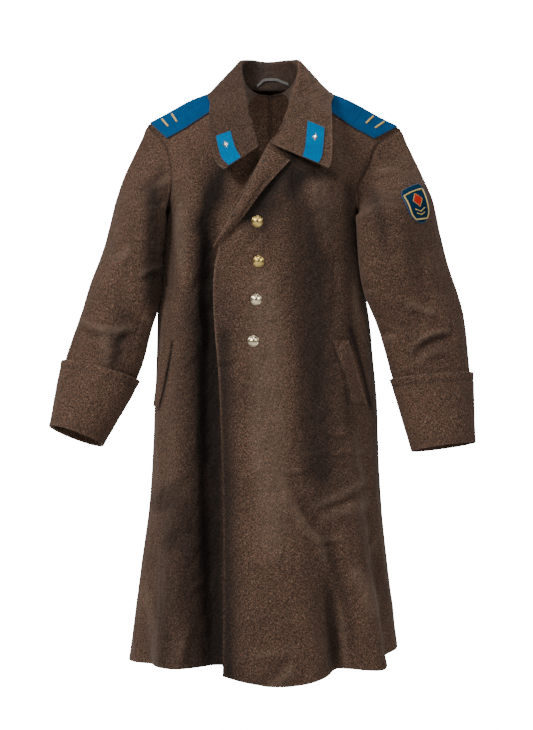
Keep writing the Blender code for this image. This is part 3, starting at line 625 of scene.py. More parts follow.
# deep, middle and light colour, then the sheen's
felts = {
    "blueFelt": ((0.000, 0.030, 0.090), (0.000, 0.058, 0.165), (0.000, 0.090, 0.240), (0.35, 0.6, 0.9)),
    "tabFelt": ((0.000, 0.070, 0.170), (0.000, 0.130, 0.310), (0.000, 0.190, 0.420), (0.35, 0.6, 0.9)),
    "patchFelt": ((0.001, 0.012, 0.030), (0.001, 0.024, 0.058), (0.006, 0.044, 0.092), (0.35, 0.6, 0.9)),
    "redFelt": ((0.25, 0.008, 0.006), (0.45, 0.02, 0.012), (0.6, 0.05, 0.03), (0.9, 0.4, 0.3)),
}


def newFinish(name, roughness, metallic=0.0):
    finish = bpy.data.materials.new(name)
    finish.use_nodes = True
    shader = finish.node_tree.nodes["Principled BSDF"]
    shader.inputs["Roughness"].default_value = roughness
    shader.inputs["Metallic"].default_value = metallic
    return finish, shader


def addNode(finish, kind, **settings):
    node = finish.node_tree.nodes.new("ShaderNode" + kind)
    for key, value in settings.items():
        setattr(node, key, value)
    return node


def wire(finish, start, end):
    finish.node_tree.links.new(start, end)


def noiseNode(finish, source, scale, detail=3.0, rough=0.55, stretch=None):
    if stretch:
        spread = addNode(finish, "Mapping")
        spread.inputs["Scale"].default_value = stretch
        wire(finish, source, spread.inputs["Vector"])
        source = spread.outputs["Vector"]
    made = addNode(finish, "TexNoise")
    made.inputs["Scale"].default_value = scale
    made.inputs["Detail"].default_value = detail
    made.inputs["Roughness"].default_value = rough
    wire(finish, source, made.inputs["Vector"])
    return made.outputs["Fac"]


def between(finish, source, low, high, start=0.0, end=1.0):
    made = addNode(finish, "MapRange")
    for key, value in (("From Min", low), ("From Max", high), ("To Min", start), ("To Max", end)):
        made.inputs[key].default_value = value
    wire(finish, source, made.inputs["Value"])
    return made.outputs["Result"]


def blendColour(finish, share, first, second, how="MIX"):
    made = addNode(finish, "Mix", data_type="RGBA", blend_type=how)
    for value, socket in ((share, 0), (first, 6), (second, 7)):
        if isinstance(value, (int, float)):
            made.inputs[socket].default_value = value
        elif isinstance(value, tuple):
            made.inputs[socket].default_value = (*value, 1)
        else:
            wire(finish, value, made.inputs[socket])
    return made.outputs[2]


def sums(finish, how, first, second=0.0):
    made = addNode(finish, "Math", operation=how)
    for value, socket in ((first, 0), (second, 1)):
        if isinstance(value, (int, float)):
            made.inputs[socket].default_value = value
        else:
            wire(finish, value, made.inputs[socket])
    return made.outputs[0]


def relief(finish, shader, height, strength, distance):
    made = addNode(finish, "Bump")
    made.inputs["Strength"].default_value = strength
    made.inputs["Distance"].default_value = distance
    wire(finish, height, made.inputs["Height"])
    wire(finish, made.outputs["Normal"], shader.inputs["Normal"])


def weaveHeight(finish, threads, pitch):
    # crossing threads of a plain weave, pitch in mm
    rounds = 0.314159 / (pitch * mm)
    heights = []
    for axis in "XY":
        band = addNode(finish, "TexWave", bands_direction=axis)
        band.inputs["Scale"].default_value = rounds
        band.inputs["Distortion"].default_value = 1.4
        band.inputs["Detail"].default_value = 2
        band.inputs["Detail Scale"].default_value = 0.6
        wire(finish, threads, band.inputs["Vector"])
        heights.append(band.outputs["Fac"])
    return sums(finish, "MULTIPLY", *heights)


def weighted(finish, *parts):
    # the sum of sockets times their weights
    whole = 0.0
    for socket, weight in parts:
        whole = sums(finish, "ADD", whole, sums(finish, "MULTIPLY", socket, weight))
    return whole


def threeTones(finish, source, look, deep, middle, light):
    tone = blendColour(finish, between(finish, source, *look["toMiddle"]), deep, middle)
    return blendColour(finish, between(finish, source, *look["toLight"]), tone, light)


def shaded(finish, tone, shade):
    grey = addNode(finish, "CombineColor")
    for socket in ("Red", "Green", "Blue"):
        wire(finish, shade, grey.inputs[socket])
    return blendColour(finish, 1.0, tone, grey.outputs["Color"], "MULTIPLY")


def clothShine(shader, look, tint):
    shader.inputs["Specular IOR Level"].default_value = look["specular"]
    shader.inputs["Sheen Weight"].default_value = look["sheen"]
    shader.inputs["Sheen Roughness"].default_value = look["sheenRoughness"]
    shader.inputs["Sheen Tint"].default_value = tint


def woolFinish():
    finish, shader = newFinish("greatcoatWool", 0.92)
    coordinates = addNode(finish, "TexCoord")
    place, threads = coordinates.outputs["Object"], coordinates.outputs["UV"]
    warp, weft = (noiseNode(finish, threads, 1.0, 2, 0.5, stretch) for stretch in woolLook["yarns"])
    fibres = noiseNode(finish, place, woolLook["fibres"], 4, 0.65)
    patches = noiseNode(finish, place, woolLook["patches"], 3, 0.55)
    heather = weighted(finish, (warp, 0.3), (weft, 0.3), (fibres, 0.4))
    tone = threeTones(finish, heather, woolLook, woolLook["dark"], woolLook["middle"], woolLook["light"])
    for colour, size, share in (("rust", "flecks", "rustFlecks"), ("pale", "paleFlecks", "paleShare")):
        flecks = noiseNode(finish, place, woolLook[size], 2, 0.5)
        tone = blendColour(finish, between(finish, flecks, *woolLook[share]), tone, woolLook[colour])
    # wear and painted highlight: the lighter colour where the attribute says
    wearAndHighlight = addNode(finish, "Attribute", attribute_name="wearAndHighlight")
    wearAndHighlightShare = sums(finish, "MULTIPLY", wearAndHighlight.outputs["Fac"], between(finish, fibres, *woolLook["wearAndHighlightSpread"]))
    tone = blendColour(finish, wearAndHighlightShare, tone, woolLook["wornAndHighlighted"])
    # painted shade: the attribute darkens the colour and takes away the sheen
    paintedShade = addNode(finish, "Attribute", attribute_name="paintedShade")
    unshaded = sums(finish, "SUBTRACT", 1.0, paintedShade.outputs["Fac"])
    shade = sums(finish, "MULTIPLY", unshaded, between(finish, patches, *woolLook["cloudiness"]))
    wire(finish, shaded(finish, tone, shade), shader.inputs["Base Color"])
    wire(finish, between(finish, fibres, *woolLook["roughness"]), shader.inputs["Roughness"])
    clothShine(shader, woolLook, woolLook["sheenTint"])
    wire(finish, sums(finish, "MULTIPLY", unshaded, woolLook["sheen"]), shader.inputs["Sheen Weight"])
    weave = weaveHeight(finish, threads, woolLook["threadPitch"])
    slow = noiseNode(finish, place, woolLook["rumpleSize"], 3, 0.5, (1, 1, 0.75))
    rumples = sums(finish, "ABSOLUTE", sums(finish, "SUBTRACT", slow, 0.5))
    height = weighted(finish, *zip((weave, heather, rumples), woolLook["weights"]))
    relief(finish, shader, height, *woolLook["relief"])
    return finish


def feltFinish(name):
    finish, shader = newFinish(name, 0.88)
    *colours, tint = felts[name]
    place = addNode(finish, "TexCoord").outputs["Object"]
    fibres = noiseNode(finish, place, feltLook["fibres"], 5, 0.7)
    clouds = noiseNode(finish, place, feltLook["clouds"], 3, 0.5)
    tone = threeTones(finish, fibres, feltLook, *colours)
    tone = shaded(finish, tone, between(finish, clouds, *feltLook["cloudiness"]))
    wire(finish, tone, shader.inputs["Base Color"])
    wire(finish, between(finish, fibres, *feltLook["roughness"]), shader.inputs["Roughness"])
    clothShine(shader, feltLook, (*tint, 1))
    relief(finish, shader, fibres, *feltLook["relief"])
    return finish


def threadFinish(name, colour, sheen=0.2):
    # twisted sewing or embroidery thread
    finish, shader = newFinish(name, 0.62)
    place = addNode(finish, "TexCoord").outputs["Object"]
    twist = noiseNode(finish, place, 1800, 3, 0.6)
    darker = tuple(c * 0.55 for c in colour)
    tone = blendColour(finish, between(finish, twist, 0.35, 0.6), darker, colour)
    wire(finish, tone, shader.inputs["Base Color"])
    wire(finish, between(finish, twist, 0.3, 0.7, 0.5, 0.75), shader.inputs["Roughness"])
    shader.inputs["Sheen Weight"].default_value = sheen
    relief(finish, shader, twist, 0.5, 0.0002)
    return finish


def metalFinish(name, colour, roughness, tarnish):
    finish, shader = newFinish(name, roughness, 1.0)
    place = addNode(finish, "TexCoord").outputs["Object"]
    dull = noiseNode(finish, place, 160, 4, 0.6)
    fine = noiseNode(finish, place, 420, 3, 0.7, (1, 1, 5))
    tone = blendColour(finish, between(finish, dull, 0.42, 0.68), colour, tarnish)
    wire(finish, tone, shader.inputs["Base Color"])
    mixed = weighted(finish, (dull, 0.6), (fine, 0.4))
    rough = between(finish, mixed, 0.35, 0.65, roughness * 0.7, roughness * 1.5)
    wire(finish, rough, shader.inputs["Roughness"])
    relief(finish, shader, mixed, 0.12, 0.0003)
    return finish


def tapeFinish():
    finish, shader = newFinish("greyTape", 0.8)
    coordinates = addNode(finish, "TexCoord")
    weave = weaveHeight(finish, coordinates.outputs["UV"], 0.9)
    fuzz = noiseNode(finish, coordinates.outputs["Object"], 900, 3, 0.6)
    height = weighted(finish, (weave, 1.0), (fuzz, 0.6))
    dark, light = (0.045, 0.042, 0.038), (0.175, 0.165, 0.150)
    tone = blendColour(finish, between(finish, height, 0.3, 1.0), dark, light)
    wire(finish, tone, shader.inputs["Base Color"])
    wire(finish, between(finish, fuzz, 0.3, 0.7, 0.7, 0.9), shader.inputs["Roughness"])
    relief(finish, shader, height, 0.5, 0.0004)
    return finish


wool = woolFinish()
felt, tabFelt, patchFelt, redFelt = (feltFinish(name) for name in felts)
brownThread = threadFinish("brownThread", (0.075, 0.050, 0.038))
blueThread = threadFinish("navyThread", (0.004, 0.035, 0.095))
goldThread = threadFinish("yellowThread", (0.66, 0.46, 0.13), 0.1)
brass = metalFinish("yellowBrass", (0.70, 0.50, 0.17), 0.22, (0.30, 0.20, 0.07))
paleBrass = metalFinish("paleBrass", (0.78, 0.66, 0.46), 0.22, (0.36, 0.28, 0.17))
whiteMetal = metalFinish("whiteMetal", (0.88, 0.88, 0.86), 0.22, (0.60, 0.59, 0.56))
darkSteel = metalFinish("darkSteel", (0.10, 0.09, 0.08), 0.38, (0.05, 0.035, 0.025))
tape = tapeFinish()
print("finishes made")


# Body panels
panels = {
    "cell": 5.2,
    # cloth lengths in metres that set the number of cells
    "lowerLength": 0.860,
    "upperLength": 0.250,
    "width": {"front": 0.42, "back": 0.34},
    "thickness": 2.4,
    "seamGap": 0.2,
    # how far the creases keep from the seams, from the top and from the leading edge
    "calm": (22, 30, 18),
    "seamDip": 1.5,
    "seamWidth": 3.6,
    "unevenness": 1.1,
    "stitchInset": 8.0,
    "stitchDip": 0.7,
    "hemAllowance": 42.0,
    # padding at the shoulder: height, x of its middle, half width, and reach down the cloth
    "padding": (10.5, 150, 52, 55),
    # what the back halves carry behind the seams: centre back across and in, side seam in and forward
    "allowance": (2.0, 1.5, 1.6, 4.0),
    # the hem lighter from wear, painted highlight along the upper leading edge and painted shade along its lower
    # part, where the leading edge turns from the one to the other, and over how much
    "rubbedHem": 0.30,
    "highlightedEdge": 0.32,
    "shadedEdge": 0.42,
    "edgeTurns": (-700, 220),
    "buttonDip": (1.2, 14),
    "buttonPlaces": ((-24, -260), (-21.5, -334), (-26, -405), (-31, -482)),
    # painted shade in the deep folds and hollows, and as cast shadows beside the strip, under the collar and
    # along the leading edge: start x and z, end x and z, bow, width, strength
    "paintedShade": {
        "frontLeft": (
            (46, -134, -44, -254, -3, 12, 0.86),
            (70, -146, -14, -262, -3, 28, 0.55),
            (86, -240, 94, -780, 0, 32, 0.40),
            (-88, -470, -78, -1090, 0, 15, 0.42),
            (104, -850, 120, -1080, 3, 13, 0.34),
            (150, -190, 152, -480, 0, 13, 0.5),
            (152, -458, 190, -604, 2, 4.5, 0.75),
            (122, -482, 150, -600, 0, 3.0, 0.40),
            (196, -470, 214, -760, 0, 14, 0.35),
            (-60, -1120, 190, -1150, 0, 40, 0.14),
            (118, -168, 60, -172, 0, 12, 0.5),
        ),
        "frontRight": (
            (-80, -120, -104, -205, 0, 20, 0.84),
            (-104, -205, -130, -262, 0, 17, 0.62),
            (-126, -262, -120, -690, 0, 14, 0.56),
            (-114, -290, -100, -600, 0, 8, 0.55),
            (-100, -600, -95, -1180, 0, 8, 0.50),
            (-126, -700, -112, -960, 0, 13, 0.30),
            (-106, -980, -104, -1170, 0, 13, 0.55),
            (-128, -420, -118, -1120, 0, 34, 0.30),
            (-176, -800, -196, -1190, 0, 32, 0.36),
            (-186, -484, -212, -612, 2, 3.5, 0.6),
        ),
        "backLeft": ((4, -200, 6, -1080, 0, 16, 0.25), (110, -260, 130, -900, 4, 26, 0.22)),
        "backRight": ((-4, -200, -6, -1080, 0, 16, 0.25), (-110, -260, -130, -900, 4, 26, 0.22)),
    },
    # start x and z, end x and z, bow, width, depth, lean to the hollow: in the view of the side that shows
    "creases": {
        "frontLeft": (
            (-124, -300, -106, -1190, 0, 42, -11.0, 0),
            (70, -230, 98, -760, 4, 34, -9.0, 0),
            (-12, -330, 6, -900, 0, 30, 4.0, 0),
            (108, -870, 120, -1100, 3, 13, -5.0, 0),
            (18, -150, -40, -262, -3, 17, -6.0, 0),
            (20, -735, 90, -855, -7, 7.9, 4.7, 1),
            (84, -830, 142, -1100, 10, 8, 4.6, 1),
            (76, -792, 182, -742, -3, 6.2, 5.0, -1),
            (88, -812, 190, -790, 6, 12, 3.2, -1),
            (22, -724, 74, -722, 2, 4, 1.8, -1),
            (58, -695, 186, -690, 3, 4.4, 2.3, -1),
            (74, -660, 106, -642, 3, 5.3, 2.9, -1),
            (92, -652, 156, -648, -4, 5.3, 2.2, -1),
            (80, -856, 142, -850, 3, 5.3, 3.1, -1),
            (-108, -528, -68, -514, 3, 4, 2.5, -1),
            (-64, -549, -18, -572, 2, 4, 2.2, 1),
            (-42, -1128, 44, -1066, -14, 7.9, 5.8, 1),
            (-66, -996, 12, -976, -3, 4, 1.4, -1),
            (40, -150, 62, -300, 5, 16, -4.5, 0),
            (92, -170, 104, -330, -4, 20, 4.0, 0),
            (150, -240, 164, -470, 4, 6.2, 3.2, 1),
            (172, -280, 182, -470, -3, 6.2, 2.9, 1),
            (136, -560, 150, -660, 6, 8.8, -3.6, 0),
            (-20, -600, 16, -760, -8, 16, 2.5, 0),
            (150, -900, 196, -1000, 8, 14, 4.0, 1),
            (-60, -1052, 60, -1046, -5, 7, 1.8, -1),
            (186, -889, 212, -842, 3, 5.3, 2.2, 1),
        ),
        "frontRight": (
            (-117, -150, -103, -1160, 0, 13, -9.0, 0),
            (-124, -300, -106, -1190, 0, 42, -11.0, 0),
            (-189, -486, -212, -606, 2, 3.5, -2.6, 0),
            (-226, -802, -132, -742, 6, 15, -6.1, 0),
            (-206, -866, -128, -834, 4, 16, -4.7, 0),
            (-152, -950, -110, -928, 2, 4, 2.0, -1),
            (-164, -534, -134, -502, 3, 4.4, 2.9, -1),
            (-230, -1044, -140, -1050, 3, 4, 1.4, 1),
            (-196, -180, -200, -420, 4, 12, -5.4, 0),
            (-170, -205, -156, -400, -5, 12, 3.2, 0),
            (-140, -400, -120, -500, 4, 7, 2.5, 1),
            (-236, -940, -214, -1110, 5, 9.7, 3.2, 1),
            (-178, -1100, -150, -1010, 5, 12, 3.6, -1),
        ),
        "backLeft": (
            (18, -66, 110, -100, 6, 12, 1.8, -1),
            (30, -120, 150, -190, -8, 11, 1.8, 1),
            (60, -260, 168, -230, 8, 9, 2.0, -1),
            (24, -430, 90, -405, -3, 5, 1.2, -1),
            (40, -560, 140, -520, 5, 7, 1.7, 1),
            (96, -700, 196, -640, 6, 8, 1.8, -1),
            (20, -800, 70, -905, 6, 8, 1.6, 1),
            (120, -930, 210, -880, -4, 6, 1.4, -1),
            (30, -1124, 90, -1050, 8, 9, 2.0, -1),
        ),
        "backRight": (
            (-22, -62, -120, -110, 6, 12, 1.8, 1),
            (-44, -140, -160, -180, 7, 11, 1.6, 1),
            (-70, -285, -180, -240, -8, 9, 2.0, 1),
            (-30, -395, -84, -412, 3, 5, 1.2, 1),
            (-30, -520, -132, -560, -5, 7, 1.7, 1),
            (-90, -650, -200, -700, 6, 8, 1.8, 1),
            (-34, -860, -80, -760, 6, 8, 1.6, -1),
            (-130, -900, -214, -950, 4, 6, 1.3, -1),
            (-40, -1118, -110, -1060, 8, 9, 2.0, -1),
        ),
    },
}


def makePanel(part, side):
    name, front = part + side.capitalize(), part == "front"
    cell = panels["cell"] * mm
    rise = [-1 + s for s in stepsOver(panels["lowerLength"], cell, True, False)]
    rise += stepsOver(panels["upperLength"], 0.8 * cell, False, True)[1:]
    share = stepsOver(panels["width"][part], cell, True, True)
    grid = gridOf(rise, share, lambda r, s: panelPoint(part, side, s, r))
    height, middle, half, reach = panels["padding"]
    padding = height * bell(np.abs(grid[..., 0]) - middle, half)
    grid[..., 2] += padding * bell(arcOf(grid, 0)[-1:] - arcOf(grid, 0), reach)
    apart = panels["seamGap"] * (-1 if front else 1)
    grid[:, 0, 1] += apart
    grid[-1, 1:, 1] += apart
    if not front:
        grid[:, -1, 0] += sideSign[side] * panels["seamGap"]
    normals = gridNormals(grid, fromMiddle)
    toSeam, toHem = arcOf(grid, 1), arcOf(grid, 0)
    toEdge, toTop = toSeam[:, -1:] - toSeam, toHem[-1:, :] - toHem
    x, z = grid[..., 0], grid[..., 2]
    calmSeam, calmTop, calmEdge = panels["calm"]
    calm = fade(toSeam, calmSeam) * (1 if front else fade(toEdge, calmSeam))
    pressed = creaseRise(x, z, panels["creases"][name]) * calm**0.8 * fade(toTop, calmTop)
    wave = softNoise(grid, 62, 2.2, seed=3.1 * len(name)) + 0.45 * softNoise(grid, 21, 1.6, seed=7.7)
    wave *= panels["unevenness"] * calm * fade(toTop, calmTop) * (fade(toEdge, calmEdge) if front else 1)
    seams = bell(toSeam, panels["seamWidth"])
    seams += bell(toTop, panels["seamWidth"]) * (np.abs(grid[-1:, :, 0]) > body["neckHalf"])
    if not front:
        seams += bell(toEdge, panels["seamWidth"])
    seams = np.clip(seams, 0, 1)
    lift = pressed + wave - panels["seamDip"] * seams
    lift += 0.5 * bell(toHem - 3, 6) - 0.35 * bell(toHem - panels["hemAllowance"], 2.4)
    # painted shade from the bands, then deeper in the crease troughs
    paintedShade = bandsOf(x, z, panels["paintedShade"][name]) * np.clip(1 + 0.2 * wave, 0.8, 1.2)
    paintedShade = paintedShade + np.clip(-pressed / 9, 0, 0.32)
    # lighter: painted highlight on the crease ridges, and wear along the hem
    wearAndHighlight = np.clip(pressed / 7, 0, 0.3) + panels["rubbedHem"] * bell(toHem, 3)
    if front:
        lift += 0.6 * bell(toEdge, 5)
        lift -= panels["stitchDip"] * bell(toEdge - panels["stitchInset"], 1.6) * fade(toTop, 60)
        # painted highlight along the upper leading edge, painted shade along its lower part
        turnsAt, over = panels["edgeTurns"]
        edge, high = bell(toEdge, 3.0), fade(z - turnsAt, over)
        wearAndHighlight = wearAndHighlight + panels["highlightedEdge"] * high * edge
        paintedShade = paintedShade * (1 - edge) + panels["shadedEdge"] * (1 - high) * edge
    if name == "frontRight":
        # kept under the left front that laps over it
        lift = np.minimum(lift, 0.3 + 8 * fade(-40 - x, 60))
    if name == "frontLeft":
        dip, around = panels["buttonDip"]
        for spotX, spotZ in panels["buttonPlaces"]:
            lift -= dip * np.exp(-((x - spotX) ** 2 + (z - spotZ) ** 2) / around**2)
    grid = grid + normals * lift[..., None]
    if not front:
        under, into, sideIn, forward = panels["allowance"]
        grid[:, -1, 0] = 0.1 if side == "right" else -under
        grid[:, -1, 1] -= 0 if side == "right" else into
        lower = np.array(rise) < 0
        grid[lower, 0, 0] -= sideSign[side] * sideIn
        grid[lower, 0, 1] -= forward
    # painted shade along the seam dips as well
    paintedShade = np.clip(paintedShade + 0.4 * seams, 0, 0.85)
    piece = clothPiece(f"{name}Cloth", grid, normals, panels["thickness"], wool, np.clip(wearAndHighlight, 0, 0.8), paintedShade=paintedShade)
    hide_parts(f"{part}_{side}_upper", f"{part}_{side}_skirt")
    return piece, grid, normals


made = {(part, side): makePanel(part, side) for part in ("back", "front") for side in ("right", "left")}
print("body panels made")


# Sleeves and cuffs
sleeves = {
    # rings from the armhole to the hem: centre, long and short half size, turn of the long one, slope
    "right": {
        "columns": ("at", "x", "y", "z", "long", "short", "yaw", "slope"),
        "rows": (
            (0, 255, -35, -244, 82, 45, 66, 0.33),
            (1, 270, -34, -325, 78, 47, 55, 0.28),
            (2, 291.5, -38, -424, 72.5, 55, 25, 0.28),
            (3, 323, -52, -532, 74, 47, 15, 0.28),
            (4, 368, -82, -660, 51, 50, 0, 0.36),
        ),
    },
    "left": {
        "columns": ("at", "x", "y", "z", "long", "short", "yaw", "slope"),
        "rows": (
            (0, 242, -58, -240, 93, 57, 42, 0.13),
            (1, 259, -50, -343, 97, 56, 34, 0.12),
            (2, 289, -40, -438, 89, 52, 20, 0.12),
            (3, 310, -48, -547, 77, 47, 15, 0.10),
            (4, 330, -66, -677, 59, 48, 8, 0.14),
        ),
    },
    "last": 4,
    # shares of the crown at the armhole, where its even steps begin, and the numbers of steps
    "crownRuns": (0, 0.012, 0.03, 0.055, 0.085),
    "crownFrom": 0.12,
    "crownSteps": 24,
    "armSteps": 88,
    "seams": (-0.221, 0.125),
    "crownLeave": 0.4,
    "armholeGap": 0.12,
    "thickness": 2.4,
    "unevenness": 1.2,
    "pucker": 0.55,
    # creases narrower than this are made this much deeper
    "narrow": 10,
    "creaseDepth": 1.8,
    # gathers round the crown: two counts and the second one's share
    "gathers": (31, 19, 0.6),
    "seamDip": (0.8, 2.4),
    # the side by the body: how far out, over which run it begins, down to which run, and how fast it ends
    "underFill": {"right": (8.7, 0.5, 2.5, 0.47), "left": (4.5, 2.2, 2.4, 0.4)},
    # painted shade on the side by the body, in the troughs and the hollows, as on the body panels
    "paintedShade": {
        "right": (
            (-222, -200, -226, -400, 0, 15, 0.66),
            (-276, -440, -314, -610, 0, 24, 0.45),
            (-208, -150, -222, -215, 0, 14, 0.30),
            (-384, -470, -414, -610, 0, 16, 0.20),
        ),
        "left": (
            (196, -200, 214, -300, 0, 12, 0.45),
            (290, -600, 330, -690, 0, 14, 0.25),
            (262, -506, 340, -470, 12, 5, 0.35),
        ),
    },
    # as on the body panels, then 1 for the side that shows from the front and -1 for the back
    "creases": {
        "right": (
            (-184, -188, -206, -232, 3, 5, 1.8, -1, 1),
            (-234, -214, -188, -166, 5, 8, 1.8, 1, 1),
            (-252, -362, -200, -334, 3, 5, 2.0, -1, 1),
            (-368, -438, -262, -460, -10, 6, 3.0, -1, 1),
            (-318, -450, -308, -536, 4, 9, 2.4, 1, 1),
            (-300, -480, -262, -452, 4, 6, 2.0, -1, 1),
            (-272, -220, -336, -452, 8, 15, 2.2, 1, 1),
            (-226, -236, -268, -410, -6, 12, 1.8, -1, 1),
            (-240, -430, -222, -470, 3, 6, 1.8, 1, 1),
            (-262, -300, -300, -330, 5, 9, 1.4, 1, 1),
            (-200, -230, -330, -320, 14, 12, 2.6, -1, -1),
            (-210, -320, -300, -380, 10, 9, 2.6, -1, -1),
            (-220, -390, -330, -420, 10, 8, 3.0, -1, -1),
            (-250, -440, -350, -470, 8, 7, 2.6, -1, -1),
            (-260, -160, -300, -420, 8, 14, 2.0, 1, -1),
        ),
        "left": (
            (194, -164, 250, -152, 5, 5, 2.0, -1, 1),
            (180, -242, 216, -222, 4, 6, 1.8, 1, 1),
            (250, -404, 320, -428, -4, 7, 1.6, -1, 1),
            (262, -508, 344, -462, 13, 5.5, 3.4, -1, 1),
            (276, -528, 340, -498, 9, 7, 1.8, -1, 1),
            (162, -400, 200, -386, 3, 5, 1.8, 1, 1),
            (200, -490, 242, -472, 4, 6, 1.8, 1, 1),
            (230, -260, 258, -412, 6, 14, 2.0, 1, 1),
            (300, -270, 330, -450, -6, 12, 1.8, -1, 1),
            (212, -180, 236, -262, -6, 10, 1.6, 1, 1),
            (205, -235, 335, -330, -14, 12, 2.6, 1, -1),
            (215, -330, 310, -390, -10, 9, 2.6, 1, -1),
            (230, -400, 340, -440, -10, 8, 3.0, 1, -1),
            (250, -460, 350, -490, -8, 7, 2.4, 1, -1),
            (262, -170, 312, -420, -8, 14, 2.0, -1, -1),
        ),
    },
}


def wallPoint(part, side, share, rise):
    # outer face of a panel and the way into its wall
    point = panelPoint(part, side, share, rise)
    if rise == 1 and abs(point.x) > body["neckHalf"]:
        return point, -Vector((math.copysign(body["ridgeDrop"], point.x), 0, 1)).normalized()
    step = 1e-3
    up = panelPoint(part, side, share, min(rise + step, 1)) - panelPoint(part, side, share, max(rise - step, -1))
    low, high = max(share - step, 0), min(share + step, 1)
    across = panelPoint(part, side, high, rise) - panelPoint(part, side, low, rise)
    normal = across.cross(up).normalized()
    guide = Vector((point.x, point.y * guideDepth, guideUp))
    return point, normal if normal.dot(guide) < 0 else -normal


def lengthShares(path):
    reach = [0.0]
    for one, two in zip(path, path[1:]):
        reach.append(reach[-1] + (two - one).length)
    return [r / reach[-1] for r in reach]


def alongPath(path, shares, share):
    share = clamp(share)
    k = max(n for n in range(len(path) - 1) if shares[n] <= share)
    return path[k].lerp(path[k + 1], (share - shares[k]) / (shares[k + 1] - shares[k]))


def armholes(side):
    found = []
    for part in ("front", "back"):
        path = [panelPoint(part, side, 0, k / 70) for k in range(71)]
        found.append((path, lengthShares(path)))
    return found


def armRow(side, at):
    return {name: readTable(sleeves[side], name, at) for name in sleeves[side]["columns"][1:]}


def armCentre(side, at):
    row = armRow(side, at)
    return Vector((sideSign[side] * row["x"], row["y"], row["z"]))


def armAxes(side, at):
    below, above = min(at + 0.1, sleeves["last"]), max(at - 0.1, 0)
    axis = (armCentre(side, below) - armCentre(side, above)).normalized()
    out = Vector((sideSign[side], 0, armRow(side, at)["slope"])).normalized()
    forward = out.cross(axis).normalized()
    return out, -forward if forward.y > 0 else forward, axis


def armPoint(side, at, turn, extra=0.0):
    # turn is 0 at the body, a quarter at the front and a half at the outer side
    row = armRow(side, at)
    out, forward, _ = armAxes(side, at)
    angle = 2 * math.pi * turn
    away = angle - math.radians(row["yaw"])
    radius = 1 / math.hypot(math.cos(away) / (row["long"] + extra), math.sin(away) / (row["short"] + extra))
    return armCentre(side, at) + (forward * math.sin(angle) - out * math.cos(angle)) * radius


def crownPoint(side, share, turn, holes):
    half = turn % 1 * 2
    start = alongPath(*holes[0], half) if half <= 1 else alongPath(*holes[1], 2 - half)
    end = armPoint(side, 0, turn)
    height = (1 - math.cos(2 * math.pi * turn)) / 2
    leave = Vector((sideSign[side] * mix(0.1, sleeves["crownLeave"], height), 0, -1)).normalized()
    off = Vector((sideSign[side], 0, mix(-1, -0.4, height))).normalized() * sleeves["armholeGap"]
    start = start + off
    bend = share * (1 - share) * (end - start).length
    point = start.lerp(end, ease(share))
    return point + (leave * (1 - share) - armAxes(side, 0)[2] * share) * bend


def sleevePoint(side, run, turn, holes):
    return armPoint(side, run - 1, turn) if run >= 1 else crownPoint(side, run, turn, holes)


def fromSleeve(side):
    centres = np.array([armCentre(side, k / 4) for k in range(17)])

    def outward(grid):
        heights = grid[..., 2].mean(axis=1)
        nearest = np.abs(centres[None, :, 2] - heights[:, None]).argmin(axis=1)
        return grid - centres[nearest][:, None]

    return outward


def ringNormals(grid, side):
    # the first and last columns are one seam, so the slopes there are taken round the ring
    ring = np.concatenate([grid[:, -2:-1], grid, grid[:, 1:2]], axis=1)
    return gridNormals(ring, fromSleeve(side))[:, 1:-1]


def sleeveTurns(low, high):
    return [mix(low, high, s) for s in stepsOver((high - low) * 0.42, 0.0052, True, True)]


